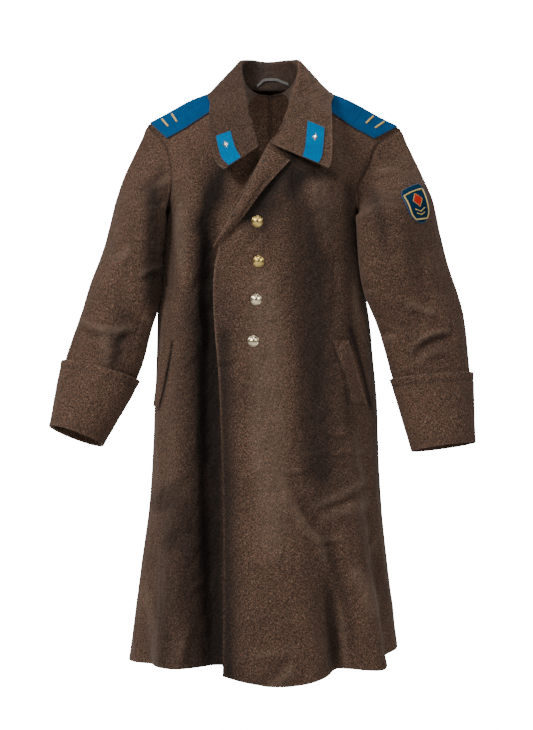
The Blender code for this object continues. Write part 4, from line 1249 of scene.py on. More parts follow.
def makeSleeve(side):
    holes = armholes(side)
    low, high = sleeves["seams"]
    under = sleeveTurns(low, high)
    turns = under + sleeveTurns(high, 1 + low)[1:]
    crown, steps = sleeves["crownSteps"], sleeves["armSteps"]
    runs = [*sleeves["crownRuns"], *(mix(sleeves["crownFrom"], 1, k / crown) for k in range(crown))]
    runs += [1 + sleeves["last"] * k / steps for k in range(steps + 1)]
    grid = gridOf(runs, turns, lambda run, turn: sleevePoint(side, run, turn, holes))
    normals = ringNormals(grid, side)
    x, z = grid[..., 0], grid[..., 2]
    down, across = arcOf(grid, 0), arcOf(grid, 1)
    pressed, wearAndHighlight = np.zeros_like(x), np.zeros_like(x)
    for *crease, face in sleeves["creases"][side]:
        narrow = crease[5] < sleeves["narrow"]
        shows = np.clip(-face * normals[..., 1] * 2.2, 0, 1)
        one = (sleeves["creaseDepth"] if narrow else 1) * creaseRise(x, z, [crease]) * shows
        pressed += one
        # painted highlight on the ridges of the narrow creases
        wearAndHighlight += np.clip(one / 7, 0, 0.26) * narrow
    wave = softNoise(grid, 55, 1.8, seed=11.0 + sideSign[side]) + 0.4 * softNoise(grid, 19, 1.4, seed=4.2)
    wave[:, -1] = wave[:, 0]
    lift = (pressed + sleeves["unevenness"] * wave) * fade(down, 16)
    around, at = np.array(turns)[None, :], np.array(runs)[:, None]
    circle = 2 * math.pi * around
    first, second, share = sleeves["gathers"]
    gathers = np.cos(circle * first) + share * np.cos(circle * second + 1)
    crownSide = np.clip(0.5 - np.cos(circle), 0, 1)
    lift += sleeves["pucker"] * gathers * crownSide * np.exp(-down / 14) * fade(down, 3)
    lift += 1.4 * crownSide * bell(down - 10, 7) - 1.5 * bell(down, 3.4)
    out, over, until, ending = sleeves["underFill"][side]
    nearBody = bell((around + 0.5) % 1 - 0.5, 0.13)
    lift += out * nearBody * fade(at, over) * bell(np.maximum(at - until, 0), ending)
    split = len(under) - 1
    dip, wide = sleeves["seamDip"]
    for column in (0, split, len(turns) - 1):
        lift -= dip * bell(across - across[:, column : column + 1], wide)
    lift[:, -1] = lift[:, 0]
    grid = grid + normals * lift[..., None]
    # painted shade at the armhole seam, in the bands and in the crease troughs
    paintedShade = 0.4 * bell(down, 3) + bandsOf(x, z, sleeves["paintedShade"][side]) * np.clip(1 + 0.2 * wave, 0.8, 1.2)
    paintedShade = np.clip(paintedShade + np.clip(-pressed / 8, 0, 0.34), 0, 0.8)
    pieces = {}
    for label, cut in (("Under", slice(0, split + 1)), ("Top", slice(split, len(turns)))):
        pieces[label] = clothPiece(
            f"sleeve{side.capitalize()}{label}", grid[:, cut], normals[:, cut], sleeves["thickness"], wool,
            wearAndHighlight[:, cut], rim=0.5, paintedShade=paintedShade[:, cut],
        )
        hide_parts(f"sleeve_{side}_{label.lower()}")
    return pieces, holes


cuffs = {
    "length": 132,
    "stand": 3.0,
    "gap": 0.8,
    "overhang": {"right": 1.5, "left": 6.5},
    "thickness": 2.6,
    "stitchBelow": 15.5,
    "hemStitch": 11.0,
    "unevenness": 1.2,
    "columns": 96,
    # soft folds: turn and share down, spread each way, depth
    "folds": {
        "right": (
            (0.26, 0.55, 0.05, 0.45, 1.9),
            (0.36, 0.35, 0.05, 0.5, -1.6),
            (0.12, 0.6, 0.05, 0.4, -2.0),
            (0.8, 0.5, 0.06, 0.5, 1.8),
        ),
        "left": (
            (0.14, 0.65, 0.03, 0.22, -2.6),
            (0.18, 0.78, 0.025, 0.15, 2.2),
            (0.27, 0.4, 0.06, 0.4, 1.3),
            (0.38, 0.6, 0.05, 0.5, -1.5),
            (0.75, 0.5, 0.06, 0.5, 1.6),
        ),
    },
}


def makeCuff(side):
    name, last, steps = f"cuff{side.capitalize()}", sleeves["last"], cuffs["columns"]
    start = last - cuffs["length"] / (armCentre(side, last) - armCentre(side, last - 1)).length
    downs = stepsOver(cuffs["length"] * mm, 0.004, True, True)
    turns = [k / steps for k in range(steps + 1)]

    def place(share, turn):
        at = mix(start, last, share)
        stand = cuffs["gap"] + cuffs["stand"] * (1 - share) ** 2 + cuffs["thickness"]
        return armPoint(side, at, turn, stand) + armAxes(side, at)[2] * cuffs["overhang"][side] * share

    grid = gridOf(downs, turns, place)
    normals = ringNormals(grid, side)
    down = arcOf(grid, 0)
    toHem = down[-1:, :] - down
    wave = softNoise(grid, 48, 1.4, seed=21.0 + sideSign[side]) + 0.4 * softNoise(grid, 16, 1.2, seed=9.0)
    wave[:, -1] = wave[:, 0]
    lift = cuffs["unevenness"] * wave
    share, around = np.array(downs)[:, None], np.array(turns)[None, :]
    for turn, middle, wide, tall, depth in cuffs["folds"][side]:
        lift = lift + depth * bell((around - turn + 0.5) % 1 - 0.5, wide) * bell(share - middle, tall)
    lift = np.maximum(lift, -0.4) + 0.4
    toStitch, toHemStitch = down - cuffs["stitchBelow"], toHem - cuffs["hemStitch"]
    lift += 0.7 * bell(down - 3.0, 4.0) - 0.8 * bell(toStitch, 1.5) - 0.6 * bell(toHemStitch, 1.5)
    lift[:, -1] = lift[:, 0]
    # lighter along the top edge and the hem; painted shade in the grooves of the two stitch lines
    wearAndHighlight = 0.35 * bell(down, 2.2) + 0.25 * bell(toHem, 2.2)
    paintedShade = 0.42 * bell(toStitch, 1.8) + 0.2 * bell(toHemStitch, 1.8)
    grid = grid + normals * lift[..., None]
    piece = clothPiece(
        f"{name}Cloth", grid, normals, cuffs["thickness"], wool, wearAndHighlight, closed=True, rim=0.9, paintedShade=paintedShade
    )
    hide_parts(f"cuff_{side}")
    columns = np.arange(steps + 1)
    for label, away in (("Top", toStitch), ("Hem", toHemStitch)):
        row = np.abs(away).argmin(axis=0)
        stitches(f"{name}Stitch{label}", grid[row, columns], normals[row, columns], brownThread)


arms = {}
for side in ("right", "left"):
    arms[side] = makeSleeve(side)
    makeCuff(side)
print("sleeves and cuffs made")


# Collar
collar = {
    # share round the neck, then the fold at the top and the free edge over the coat
    "columns": ("share", "foldX", "foldY", "foldZ", "edgeX", "edgeY", "edgeZ", "roll"),
    "rows": (
        (0.00, -22, -136, -118, -86, -154, -163, 4.0),
        (0.09, -29, -126, -90, -103, -140, -143, 5.0),
        (0.20, -38, -96, -56, -115, -108, -82, 5.5),
        (0.32, -47, -52, 6, -115, -58, -28, 5.5),
        (0.40, -51, 0, 60, -113, 4, 4, 5.5),
        (0.50, 0, 68, 77, 0, 114, -6, 5.5),
        (0.60, 52, 0, 60, 115, 4, 4, 5.5),
        (0.68, 44, -52, 2, 117, -58, -28, 5.5),
        (0.80, 27, -96, -56, 117, -110, -82, 5.5),
        (0.91, 15, -126, -90, 115, -138, -140, 5.0),
        (1.00, 5, -140, -114, 109, -150, -160, 4.0),
    ),
    # lengths in metres and largest cell of the fall and round the neck
    "fallCells": (0.085, 0.0038),
    "neckCells": (0.62, 0.0040),
    "standSteps": 9,
    "rollSteps": 9,
    # soft folds of the two front corners: share and width, distance from the edge and spread, height
    "softFolds": ((0.022, 0.012, 58, 14, 2.2), (0.045, 0.016, 54, 16, -1.4), (0.955, 0.02, 66, 12, 1.2)),
    "bow": 2.0,
    "gap": 0.3,
    "thickness": 2.6,
    "unevenness": 0.9,
}


def neckPath():
    path, inner = [], []
    for part, side in (("front", "right"), ("back", "right"), ("back", "left"), ("front", "left")):
        if part == "front":
            steps = [(1, mix(0.46, 1, k / 30)) for k in range(31)]
        else:
            low, high = 0.0, 1.0
            for _ in range(24):
                middle = (low + high) / 2
                if abs(panelPoint(part, side, middle, 1).x) > body["neckHalf"]:
                    low = middle
                else:
                    high = middle
            steps = [(mix(low, 1, k / 16), 1) for k in range(17)]
        if (part == "front") == (side == "left"):
            steps = steps[::-1]
        for share, rise in steps:
            point, way = wallPoint(part, side, share, rise)
            if not path or (path[-1] - point).length > 1:
                path.append(point)
                inner.append(point + way * collar["thickness"])
    return path, inner, lengthShares(path)


neck = neckPath()


def collarEnds(share):
    path, inner, shares = neck
    skin = alongPath(path, shares, share)
    lining = alongPath(inner, shares, share)
    fold, edge = (Vector([readTable(collar, line + axis, share) for axis in "XYZ"]) for line in ("fold", "edge"))
    up = (fold - skin).normalized() * collar["gap"]
    return lining + up, fold, edge, readTable(collar, "roll", share)


def collarLine(share, standAt, rollAt, fallAt):
    # points over the collar at one share round the neck, and the way that its shown face looks at each
    seam, fold, edge, roll = collarEnds(share)
    standWay, fallWay = (fold - seam).normalized(), (edge - fold).normalized()
    away = (fallWay - standWay * fallWay.dot(standWay)).normalized()
    turn = math.acos(clamp(standWay.dot(fallWay), -1, 1))
    line, looks = [], []
    for climb in standAt:
        line.append(seam.lerp(fold, climb))
        looks.append(-away)
    for bent in rollAt:
        angle = turn * bent
        reach = standWay * math.sin(angle) - away * math.cos(angle)
        line.append(fold + (away + reach) * roll)
        looks.append(reach)
    reach = standWay * math.sin(turn) - away * math.cos(turn)
    end = fold + (away + reach) * roll
    for drop in fallAt:
        line.append(end.lerp(edge, drop) + away * collar["bow"] * math.sin(math.pi * drop))
        looks.append(reach)
    return line, looks


def fallPoint(share, drop):
    return collarLine(share, (), (), (drop,))[0][0]


def makeCollar():
    standAt = [k / collar["standSteps"] for k in range(collar["standSteps"])]
    rollAt = [k / collar["rollSteps"] for k in range(collar["rollSteps"] + 1)]
    fallAt = stepsOver(*collar["fallCells"], False, True)[1:]
    shares = stepsOver(*collar["neckCells"], True, True)
    lines = [collarLine(share, standAt, rollAt, fallAt) for share in shares]
    grid = np.array([[list(p) for p in line] for line, _ in lines])
    looks = np.array([[list(w) for w in ways] for _, ways in lines])
    normals = gridNormals(grid, lambda g: looks)
    across, along = arcOf(grid, 1), arcOf(grid, 0)
    fromEdge, fromEnds = across[:, -1:] - across, np.minimum(along, along[-1:] - along)
    free = fade(across, 30) * np.clip((across - 30) / 30, 0.25, 1)
    lift = collar["unevenness"] * softNoise(grid, 44, 1.0, seed=5.5) * free
    lift += 0.35 * softNoise(grid, 15, 1.0, seed=2.5) * free
    place = np.array(shares)[:, None]
    for at, wide, inward, spread, height in collar["softFolds"]:
        lift += height * bell(place - at, wide) * bell(fromEdge - inward, spread)
    lift += 0.7 * bell(fromEdge, 4) + 0.5 * bell(fromEnds, 3) * (across > 20)
    lift -= 0.45 * bell(fromEdge - 7.0, 1.4) * fade(fromEnds - 4, 4)
    lift -= 0.6 * bell(across, 2.5)
    # lighter along the free edge, the ends and a band over the fall
    wearAndHighlight = 0.32 * bell(fromEdge, 2.2) + 0.25 * bell(fromEnds, 2) * (across > 24)
    wearAndHighlight = wearAndHighlight + 0.12 * bell(across - 38, 6)
    grid = grid + normals * lift[..., None]
    # painted shade: the inside of the neck and the hollow below the roll, the right half, and the foot along the
    # seam
    fold = across[:, collar["standSteps"] : collar["standSteps"] + 1]
    inside = np.clip((fold + 2 - across) / 9, 0, 1)
    paintedShade = inside * (0.30 + 0.32 * bell(place - 0.5, 0.16)) + 0.27 * (1 - inside) * (place < 0.5)
    paintedShade = np.clip(paintedShade + 0.35 * bell(across, 5), 0, 0.8)
    piece = clothPiece("collarCloth", grid, normals, collar["thickness"], wool, wearAndHighlight, rim=0.9, paintedShade=paintedShade)
    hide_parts("collar")
    return piece


collarPiece = makeCollar()
print("collar made")


# Trims that lie on the cloth
def blurred(values, times):
    for _ in range(times):
        wide = np.pad(values, 1, mode="edge")
        values = (wide[:-2, 1:-1] + wide[2:, 1:-1] + wide[1:-1, :-2] + wide[1:-1, 2:] + 2 * values) / 6
    return values


# a ray for a place of the cloth starts this far above a trim and ends this far below its start, in mm
rayFrom, rayReach = 14, 26


def settled(grid, outward, cloths, lift, stiffness=0):
    # the grid brought down on the cloth below it; a stiff thing lies on the high places
    normals = gridNormals(grid, outward)
    graph = bpy.context.evaluated_depsgraph_get()
    trees = [BVHTree.FromObject(cloth, graph) for cloth in cloths]
    heights = np.full(grid.shape[:2], np.nan)
    for i, j in np.ndindex(heights.shape):
        start, way = Vector(grid[i, j]), Vector(normals[i, j])
        for tree in trees:
            hit, _, _, far = tree.ray_cast((start + way * rayFrom) * mm, -way)
            if hit is not None and far < rayReach * mm:
                heights[i, j] = np.nanmax([heights[i, j], rayFrom - far / mm])
    heights[np.isnan(heights)] = np.nanmedian(heights) if not np.isnan(heights).all() else 0
    if stiffness:
        flat = blurred(heights, stiffness)
        heights = flat + max(0, np.percentile(heights - flat, 96))
    return grid + normals * (heights + lift)[..., None], normals


def tubeAlong(name, points, radius, finish, cyclic=False):
    curve = bpy.data.curves.new(name, "CURVE")
    curve.dimensions = "3D"
    curve.bevel_depth, curve.bevel_resolution = radius * mm, 2
    curve.use_fill_caps = not cyclic
    line = curve.splines.new("POLY")
    line.points.add(len(points) - 1)
    line.use_cyclic_u = cyclic
    for spot, point in zip(line.points, points):
        spot.co = (*(Vector(point) * mm), 1)
    holder = addObject(name, curve)
    bpy.context.view_layer.update()
    data = bpy.data.meshes.new_from_object(holder.evaluated_get(bpy.context.evaluated_depsgraph_get()))
    bpy.data.objects.remove(holder)
    bpy.data.curves.remove(curve)
    shape = bmesh.new()
    shape.from_mesh(data)
    bpy.data.meshes.remove(data)
    bmesh.ops.remove_doubles(shape, verts=shape.verts, dist=1e-6)
    bmesh.ops.recalc_face_normals(shape, faces=shape.faces)
    return makeObject(name, shape, finish)


def facing(*way):
    return lambda grid: np.zeros_like(grid) + way


def rimOf(grid, inset=0):
    # the points round a grid's edge, in order
    cut = grid[inset : grid.shape[0] - inset, inset : grid.shape[1] - inset]
    return [*cut[0, :], *cut[1:, -1], *cut[-1, -2::-1], *cut[-2:0:-1, 0]]


tabs = {
    # share along the collar and from fold to edge: the upper inner and outer corners, then the lower ones
    "right": ((0.165, 0.46), (0.165, 0.84), (0.000, 0.46), (0.000, 0.84)),
    "left": ((0.790, 0.44), (0.805, 0.82), (1.000, 0.50), (1.000, 0.80)),
    "steps": (30, 14),
    "lift": 1.9,
    "thickness": 1.6,
    "edging": 0.7,
    "device": {"down": 0.27, "across": 0.5, "long": 9.5, "short": 6.0, "height": 2.6},
}


def makeTab(side):
    name, corners, device = f"tab{side.capitalize()}", tabs[side], tabs["device"]
    rows, columns = tabs["steps"]

    def place(down, way):
        inner, outer = (Vector(corners[k]).lerp(Vector(corners[k + 2]), down) for k in (0, 1))
        return fallPoint(*inner.lerp(outer, way))

    base = gridOf([k / rows for k in range(rows + 1)], [k / columns for k in range(columns + 1)], place)
    grid, normals = settled(base, facing(sideSign[side] * 0.5, -1, 0.6), [collarPiece], tabs["lift"], 6)
    piece = clothPiece(f"{name}Felt", grid, normals, tabs["thickness"], tabFelt, rim=0.5)
    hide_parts(f"collar_tab_{side}")
    tubeAlong(f"{name}Edging", rimOf(grid - normals * 0.5), tabs["edging"], blueThread, cyclic=True)
    i, j = round(rows * device["down"]), round(columns * device["across"])
    up = Vector(normals[i, j])
    along = (Vector(grid[i + 1, j]) - Vector(grid[i - 1, j])).normalized()
    along = (along - up * along.dot(up)).normalized()
    turn = Matrix((along, up.cross(along), up)).transposed().to_4x4()
    size = Matrix.Diagonal((device["long"], device["short"], device["height"], 1))
    spot = Matrix.Translation(Vector(grid[i, j]) + up * (0.5 * device["height"] + 0.1))
    shape = bmesh.new()
    bmesh.ops.create_cone(shape, cap_ends=True, segments=4, radius1=1, radius2=0.45, depth=1)
    bmesh.ops.bevel(shape, geom=shape.edges, offset=0.08, segments=2, profile=0.5, affect="EDGES", material=-1)
    bmesh.ops.transform(shape, verts=shape.verts, matrix=Matrix.Scale(mm, 4) @ spot @ turn @ size)
    stud = makeObject(f"tabStud{side.capitalize()}", shape, whiteMetal, smooth=False)
    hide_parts(f"tab_device_{side}")


boards = {
    # x of the inner end, of the outer end behind and in front, then the lines behind and before the ridge
    "right": (110, 232, 198),
    "left": (112, 247, 200),
    "lines": (-9, 55),
    "lift": 3.6,
    "thickness": 3.0,
    "edging": 1.0,
    "stitchInset": 3.0,
    # plain bars near the outer end: shares along the board, then the first and last line across it
    "bars": ((0.66, 0.80), 6, 14),
    "barRadius": 2.0,
}


def shoulderPoint(side, x, distance):
    # the shoulder at one x and at a distance along the cloth from its ridge, behind it if negative
    rise, walked, previous = 1.0, 0.0, None
    while True:
        angle = angleAt(sideSign[side] * x, halfWidthAt(side, rise))
        if distance < 0:
            angle = sideSign[side] * math.pi - angle
        point = bodyPoint(side if distance >= 0 else "back", angle, rise)
        if previous is not None:
            step = (point - previous).length
            if walked + step >= abs(distance):
                return previous.lerp(point, (abs(distance) - walked) / step)
            walked += step
        previous = point
        rise -= 0.004


def makeBoard(side):
    name, (inner, outerBack, outerFront) = f"board{side.capitalize()}", boards[side]
    lines = [mix(*boards["lines"], s) for s in stepsOver(0.064, 0.0032, True, True)]

    def place(share, line):
        outer = mix(outerBack, outerFront, max(line, 0) / boards["lines"][1])
        return shoulderPoint(side, mix(inner, outer, share), line)

    base = gridOf(stepsOver(0.120, 0.004, True, True), lines, place)
    cloths = [made["front", side][0], made["back", side][0], arms[side][0]["Top"]]
    grid, normals = settled(base, fromMiddle, cloths, boards["lift"], 10)
    piece = clothPiece(f"{name}Felt", grid, normals, boards["thickness"], felt, rim=0.9)
    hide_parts(f"shoulder_board_{side}")
    tubeAlong(f"{name}Edging", rimOf(grid - normals * 1.6), boards["edging"], blueThread, cyclic=True)
    shares, first, last = boards["bars"]
    for number, share in enumerate(shares):
        k = round(share * (len(grid) - 1))
        path = grid[k, first : last + 1] + normals[k, first : last + 1] * 0.6
        tubeAlong(f"{name}Bar{number}", path, boards["barRadius"], goldThread)
    inset = next(k for k in range(2, 12) if np.linalg.norm(grid[k, 8] - grid[0, 8]) > boards["stitchInset"])
    path, ways = rimOf(grid, inset), rimOf(normals, inset)
    stitches(f"{name}Stitch", path + path[:1], ways + ways[:1], blueThread, 2.6, 1.4, 0.6)


for side in ("right", "left"):
    makeTab(side)
    makeBoard(side)
print("tabs and shoulder boards made")


# Turned-back edge of the left front
strip = {
    "columns": ("at", "rollX", "rollZ", "freeX", "freeZ", "stand"),
    "rows": (
        (0.00, -8, -121, 37, -144, 7),
        (0.33, -38, -186, -11, -199, 10),
        (0.66, -72, -250, -46, -248, 10),
        (0.85, -89, -282, -70, -276, 7),
        (1.00, -103, -306, -93, -300, 2),
    ),
    "stands": (0.04, 0.75, 1.0, 0.85, 0.5, 0.2),
    "roundness": 2.0,
    "stitchInset": 6.5,
    "thickness": 2.6,
    # width in mm from which the strip has a row of stitches
    "stitchedFrom": 14,
    # share down of each eye, then its share across, long and short radius, and wire
    "hooks": {"upper": 0.115, "lower": 0.66},
    "hookAcross": 0.24,
    "hookSize": (3.0, 2.4, 0.75),
}


def makeStrip():
    def place(at, across):
        row = {name: readTable(strip, name, at) for name in strip["columns"][1:]}
        x, z = mix(row["rollX"], row["freeX"], across), mix(row["rollZ"], row["freeZ"], across)
        spot = across * 5
        k = min(int(spot), 4)
        stand = mix(strip["stands"][k], strip["stands"][k + 1], ease(spot - k))
        return coatPoint("left", x, z) + Vector((0, -stand * row["stand"] - strip["thickness"], 0))

    downs, acrosses = stepsOver(0.21, 0.0032, True, True), stepsOver(0.045, 0.0026, True, True)
    grid = gridOf(downs, acrosses, place)
    normals = gridNormals(grid, facing(0, -1, 0.15))
    across = arcOf(grid, 1)
    toFree = across[:, -1:] - across
    wave = softNoise(grid, 26, 1.0, seed=8.8) + 0.5 * softNoise(grid, 11, 1.0, seed=1.8)
    lift = 0.9 * wave * np.clip(across / 6, 0, 1)
    lift += strip["roundness"] * (bell(across, 5) - 1.2 * bell(across, 1.2))
    wide = across[:, -1:] > strip["stitchedFrom"]
    lift -= 0.8 * bell(toFree - strip["stitchInset"], 1.5) * wide
    lift += 0.5 * bell(toFree, 3)
    # painted highlight along the fold and the free edge
    wearAndHighlight = 0.3 * bell(across, 4) + 0.25 * bell(toFree, 2)
    grid = grid + normals * lift[..., None]
    piece = clothPiece("stripCloth", grid, normals, strip["thickness"], wool, wearAndHighlight, rim=0.9)
    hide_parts("left_facing")
    path, ways = [], []
    for i in range(2, len(grid) - 2):
        if toFree[i, 0] > strip["stitchedFrom"]:
            j = int(np.argmin(np.abs(toFree[i] - strip["stitchInset"])))
            path.append(grid[i, j])
            ways.append(normals[i, j])
    stitches("stripStitch", path, ways, brownThread)
    for label, at in strip["hooks"].items():
        i = int(np.argmin(np.abs(np.array(downs) - at)))
        j = int(np.argmin(np.abs(across[i] - across[i, -1] * strip["hookAcross"])))
        up = Vector(normals[i, j])
        centre = Vector(grid[i, j]) + up * 0.9
        along = (Vector(grid[i + 1, j]) - Vector(grid[i - 1, j])).normalized()
        beside = along.cross(up).normalized()
        long, short, wireRadius = strip["hookSize"]
        turns = [2 * math.pi * k / 20 for k in range(20)]
        ring = [centre + along * long * math.cos(turn) + beside * short * math.sin(turn) for turn in turns]
        eye = tubeAlong(f"hookEye{label.capitalize()}", ring, wireRadius, darkSteel, cyclic=True)
        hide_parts(f"hook_{label}")


makeStrip()


# Pocket welts, each with a row of stitches
welts = {
    # inner edge's angle and height at the top and at the foot, then the width in degrees
    "left": (31, -480, 44, -600, 12, 15),
    "right": (-54, -484, -68, -606, -11, -12),
    "lift": 2.6,
    "thickness": 1.8,
    "stitchInset": 4.0,
}


def makeWelt(side):
    topAngle, topZ, footAngle, footZ, topWide, footWide = welts[side]

    def place(down, way):
        angle = mix(topAngle, footAngle, down) + mix(topWide, footWide, down) * way
        return lowerPoint(side, math.radians(angle), mix(topZ, footZ, down))

    base = gridOf(stepsOver(0.13, 0.0042, True, True), stepsOver(0.028, 0.003, True, True), place)
    grid, normals = settled(base, fromMiddle, [made["front", side][0]], welts["lift"], 6)
    across = arcOf(grid, 1)
    toMouth = across[:, -1:] - across
    lift = 0.35 * softNoise(grid, 18, 1.4, seed=6.1) + 1.1 * bell(toMouth, 4.5)
    lift -= 1.6 * bell(across, 2.2) + 0.5 * bell(across - welts["stitchInset"], 1.3)
    grid = grid + normals * lift[..., None]
    # painted highlight along the mouth, painted shade along the sunk other edge
    wearAndHighlight = 0.5 * bell(toMouth, 2.6)
    paintedShade = 0.55 * bell(across, 2.6)
    name = f"welt{side.capitalize()}"
    piece = clothPiece(f"{name}Cloth", grid, normals, welts["thickness"], wool, wearAndHighlight, rim=0.7, paintedShade=paintedShade)
    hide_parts(f"pocket_welt_{side}")
    j = int(np.argmin(np.abs(across[len(grid) // 2] - welts["stitchInset"])))
    stitches(f"{name}Stitch", grid[1:-1, j], normals[1:-1, j], brownThread)


# Sleeve patch: a plain shield with a border, a lozenge and two chevrons
patch = {
    "run": 0.93,
    "turn": 0.38,
    "down": 0.26,
    "round": 0.082,
    # half width from the top to the point, as shares of the widest
    "columns": ("down", "width"),
    "rows": ((0, 0.72), (0.1, 0.93), (0.22, 1.0), (0.5, 1.0), (0.65, 0.94), (0.78, 0.78), (0.9, 0.52), (1, 0.24)),
    "thickness": 1.6,
    "edging": 1.15,
    "borderInset": 0.84,
    "borderWidth": 1.5,
    # corners of the lozenge, down and across, then the chevrons' points and half widths
    "lozenge": ((0.20, 0), (0.36, 0.42), (0.52, 0), (0.36, -0.42)),
    "chevrons": ((0.62, 0.46), (0.72, 0.38)),
    "steps": (32, 13),
}


def patchPoint(down, across, holes):
    width = readTable(patch, "width", down) * across
    run = patch["run"] + patch["down"] * (2 * down - 1)
    return sleevePoint("left", run, patch["turn"] + patch["round"] * width, holes)


def makePatch():
    sleeve, holes = arms["left"]
    outward = fromSleeve("left")
    rows, half = patch["steps"]
    downs, acrosses = [k / rows for k in range(rows + 1)], [k / half - 1 for k in range(2 * half + 1)]
    base = gridOf(downs, acrosses, lambda down, across: patchPoint(down, across, holes))
    grid, normals = settled(base, outward, [sleeve["Top"]], 1.9, 8)
    piece = clothPiece("patchFelt", grid, normals, patch["thickness"], patchFelt, rim=0.5)
    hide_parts("sleeve_patch")
    tubeAlong("patchEdging", rimOf(grid - normals * 0.5), patch["edging"], blueThread, cyclic=True)

    def spot(down, across, lift):
        row, column = down * rows, (across + 1) * half
        i, j = int(row), int(column)
        low = Vector(grid[i, j])
        further, beside = Vector(grid[min(i + 1, rows), j]) - low, Vector(grid[i, min(j + 1, 2 * half)]) - low
        return low + further * (row - i) + beside * (column - j) + Vector(normals[i, j]) * lift

    def outline(inset):
        top, foot = 0.5 - 0.43 * inset, 0.5 + 0.44 * inset
        path = [spot(top, a, 0.3) for a in np.linspace(-inset, inset, 12)]
        path += [spot(d, inset, 0.3) for d in np.linspace(top, foot, 24)[1:]]
        path += [spot(foot, a, 0.3) for a in np.linspace(inset, -inset, 5)[1:]]
        path += [spot(d, -inset, 0.3) for d in np.linspace(foot, top, 24)[1:-1]]
        return path

    tubeAlong("patchBorder", outline(patch["borderInset"]), patch["borderWidth"], goldThread, cyclic=True)
    top, right, foot, left = (np.array(corner) for corner in patch["lozenge"])
    ninths = np.linspace(0, 1, 9)
    lozenge = gridOf(ninths, ninths, lambda u, v: spot(*mix(mix(top, right, u), mix(left, foot, u), v), 1.0))
    ways = gridNormals(lozenge, outward)
    clothPiece("patchLozenge", lozenge, ways, 0.9, redFelt, rim=0.3)
    tubeAlong("patchLozengeEdge", rimOf(lozenge - ways * 0.3), 0.55, goldThread, cyclic=True)
    for k, (low, wide) in enumerate(patch["chevrons"]):
        path = [spot(low - 0.07, -wide, 0.5), spot(low, 0, 0.5), spot(low - 0.07, wide, 0.5)]
        bent = [a.lerp(b, t) for a, b in zip(path, path[1:]) for t in (0, 0.33, 0.66)] + [path[-1]]
        tubeAlong(f"patchChevron{k}", bent, 0.95, goldThread)


# Buttons: a rolled rim, a groove and a plain dome with a ring of low petals
buttons = {
    # radius and height in mm from the back, round the rim to the top of the dome
    "profile": (
        (0.01, 0.3), (7.5, 0.3), (10.3, 0.8), (11.0, 1.7), (10.7, 2.6), (9.9, 3.0), (9.2, 2.7), (8.7, 2.5),
        (8.0, 3.1), (6.6, 4.1), (5.0, 4.9), (3.4, 5.4), (2.6, 5.9), (1.4, 6.1), (0.01, 6.15),
    ),
    # number and height, then the radii between which they lie
    "petals": (8, 0.11, 2.4, 8.2),
    "knurls": (24, 0.12, 9.5),
    "steps": 48,
    "sink": 0.6,
}


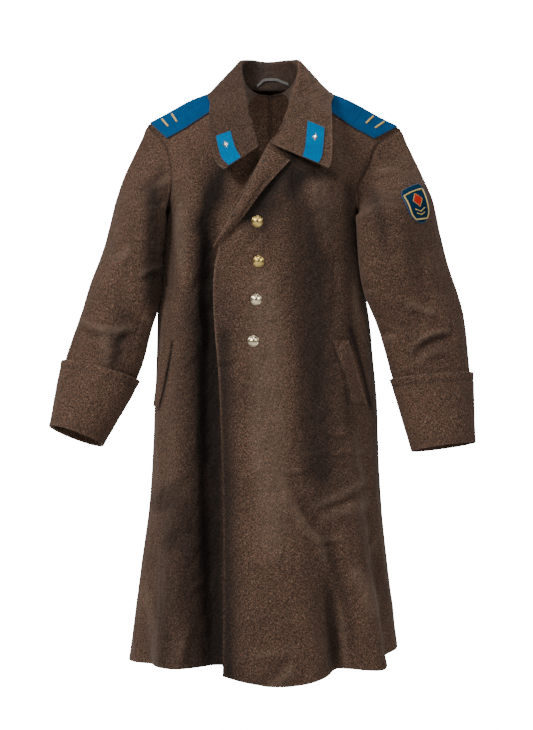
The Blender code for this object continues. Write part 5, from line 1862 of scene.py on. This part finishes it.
def makeButton(k):
    x, z = panels["buttonPlaces"][k]
    _, grid, normals = made["front", "left"]
    away = (grid[..., 0] - x) ** 2 + (grid[..., 2] - z) ** 2
    i, j = np.unravel_index(int(np.argmin(away)), away.shape)
    around = normals[i - 2 : i + 3, j - 2 : j + 3].reshape(-1, 3).mean(axis=0)
    up = Vector(around).normalized()
    here = grid[i, j]
    spot = Vector((x, here[1] - ((x - here[0]) * up.x + (z - here[2]) * up.z) / up.y, z))
    shape = bmesh.new()
    points = [shape.verts.new((radius, 0, height)) for radius, height in buttons["profile"]]
    edges = [shape.edges.new(pair) for pair in zip(points, points[1:])]
    bmesh.ops.spin(
        shape, geom=points + edges, cent=(0, 0, 0), axis=(0, 0, 1), angle=2 * math.pi, steps=buttons["steps"],
        use_merge=True,
    )
    bmesh.ops.remove_doubles(shape, verts=shape.verts, dist=0.02)
    bmesh.ops.recalc_face_normals(shape, faces=shape.faces)
    petals, petalHeight, first, last = buttons["petals"]
    knurls, knurlHeight, knurlsFrom = buttons["knurls"]
    for vert in shape.verts:
        radius, angle = math.hypot(vert.co.x, vert.co.y), math.atan2(vert.co.y, vert.co.x)
        if vert.co.z > 2 and first < radius < last:
            swell = math.sin(math.pi * (radius - first) / (last - first))
            vert.co.z += petalHeight * math.cos(petals * angle) * swell
        elif knurlsFrom < radius and 1 < vert.co.z:
            vert.co.z += knurlHeight * math.cos(knurls * angle)
    turn = up.to_track_quat("Z", "Y").to_matrix().to_4x4()
    place = Matrix.Scale(mm, 4) @ Matrix.Translation(spot - up * buttons["sink"]) @ turn
    bmesh.ops.transform(shape, verts=shape.verts, matrix=place)
    piece = makeObject(f"button{k + 1}", shape, brass if k < 2 else paleBrass)
    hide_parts(f"button_{k + 1}")


# Loop to hang the coat by, sewn at the foot of the collar inside
hanger = {
    "columns": ("at", "share", "climb"),
    "rows": (
        (0, 0.462, 0.06),
        (1, 0.470, 0.16),
        (2, 0.480, 0.26),
        (3, 0.509, 0.27),
        (4, 0.521, 0.20),
        (5, 0.535, 0.13),
    ),
    "width": 8.0,
    "thickness": 1.2,
    "lift": 1.7,
    "cord": 0.8,
}


def makeHanger():
    rows = []
    for k in range(41):
        share, climb = (readTable(hanger, name, k / 8) for name in ("share", "climb"))
        line, looks = collarLine(share, (climb, climb + 0.2), (), ())
        up = (line[1] - line[0]).normalized()
        sag = hanger["lift"] + 1.6 * math.sin(math.pi * k / 40)
        rows.append([line[0] + looks[0] * sag + up * hanger["width"] * s for s in (0, 0.25, 0.5, 0.75, 1)])
    grid = np.array(rows, float)
    normals = gridNormals(grid, facing(0, -1, 0.3))
    grid[:, 2] -= normals[:, 2] * 0.5
    piece = clothPiece("hangerTape", grid, normals, hanger["thickness"], tape, rim=0.3)
    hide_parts("hanger_loop")
    for label, j in (("Low", 0), ("High", 4)):
        tubeAlong(f"hangerCord{label}", grid[:, j] - normals[:, j] * 0.4, hanger["cord"], tape)


for side in ("right", "left"):
    makeWelt(side)
makePatch()
for k in range(len(panels["buttonPlaces"])):
    makeButton(k)
makeHanger()
print("trims made")
print("coat finished")
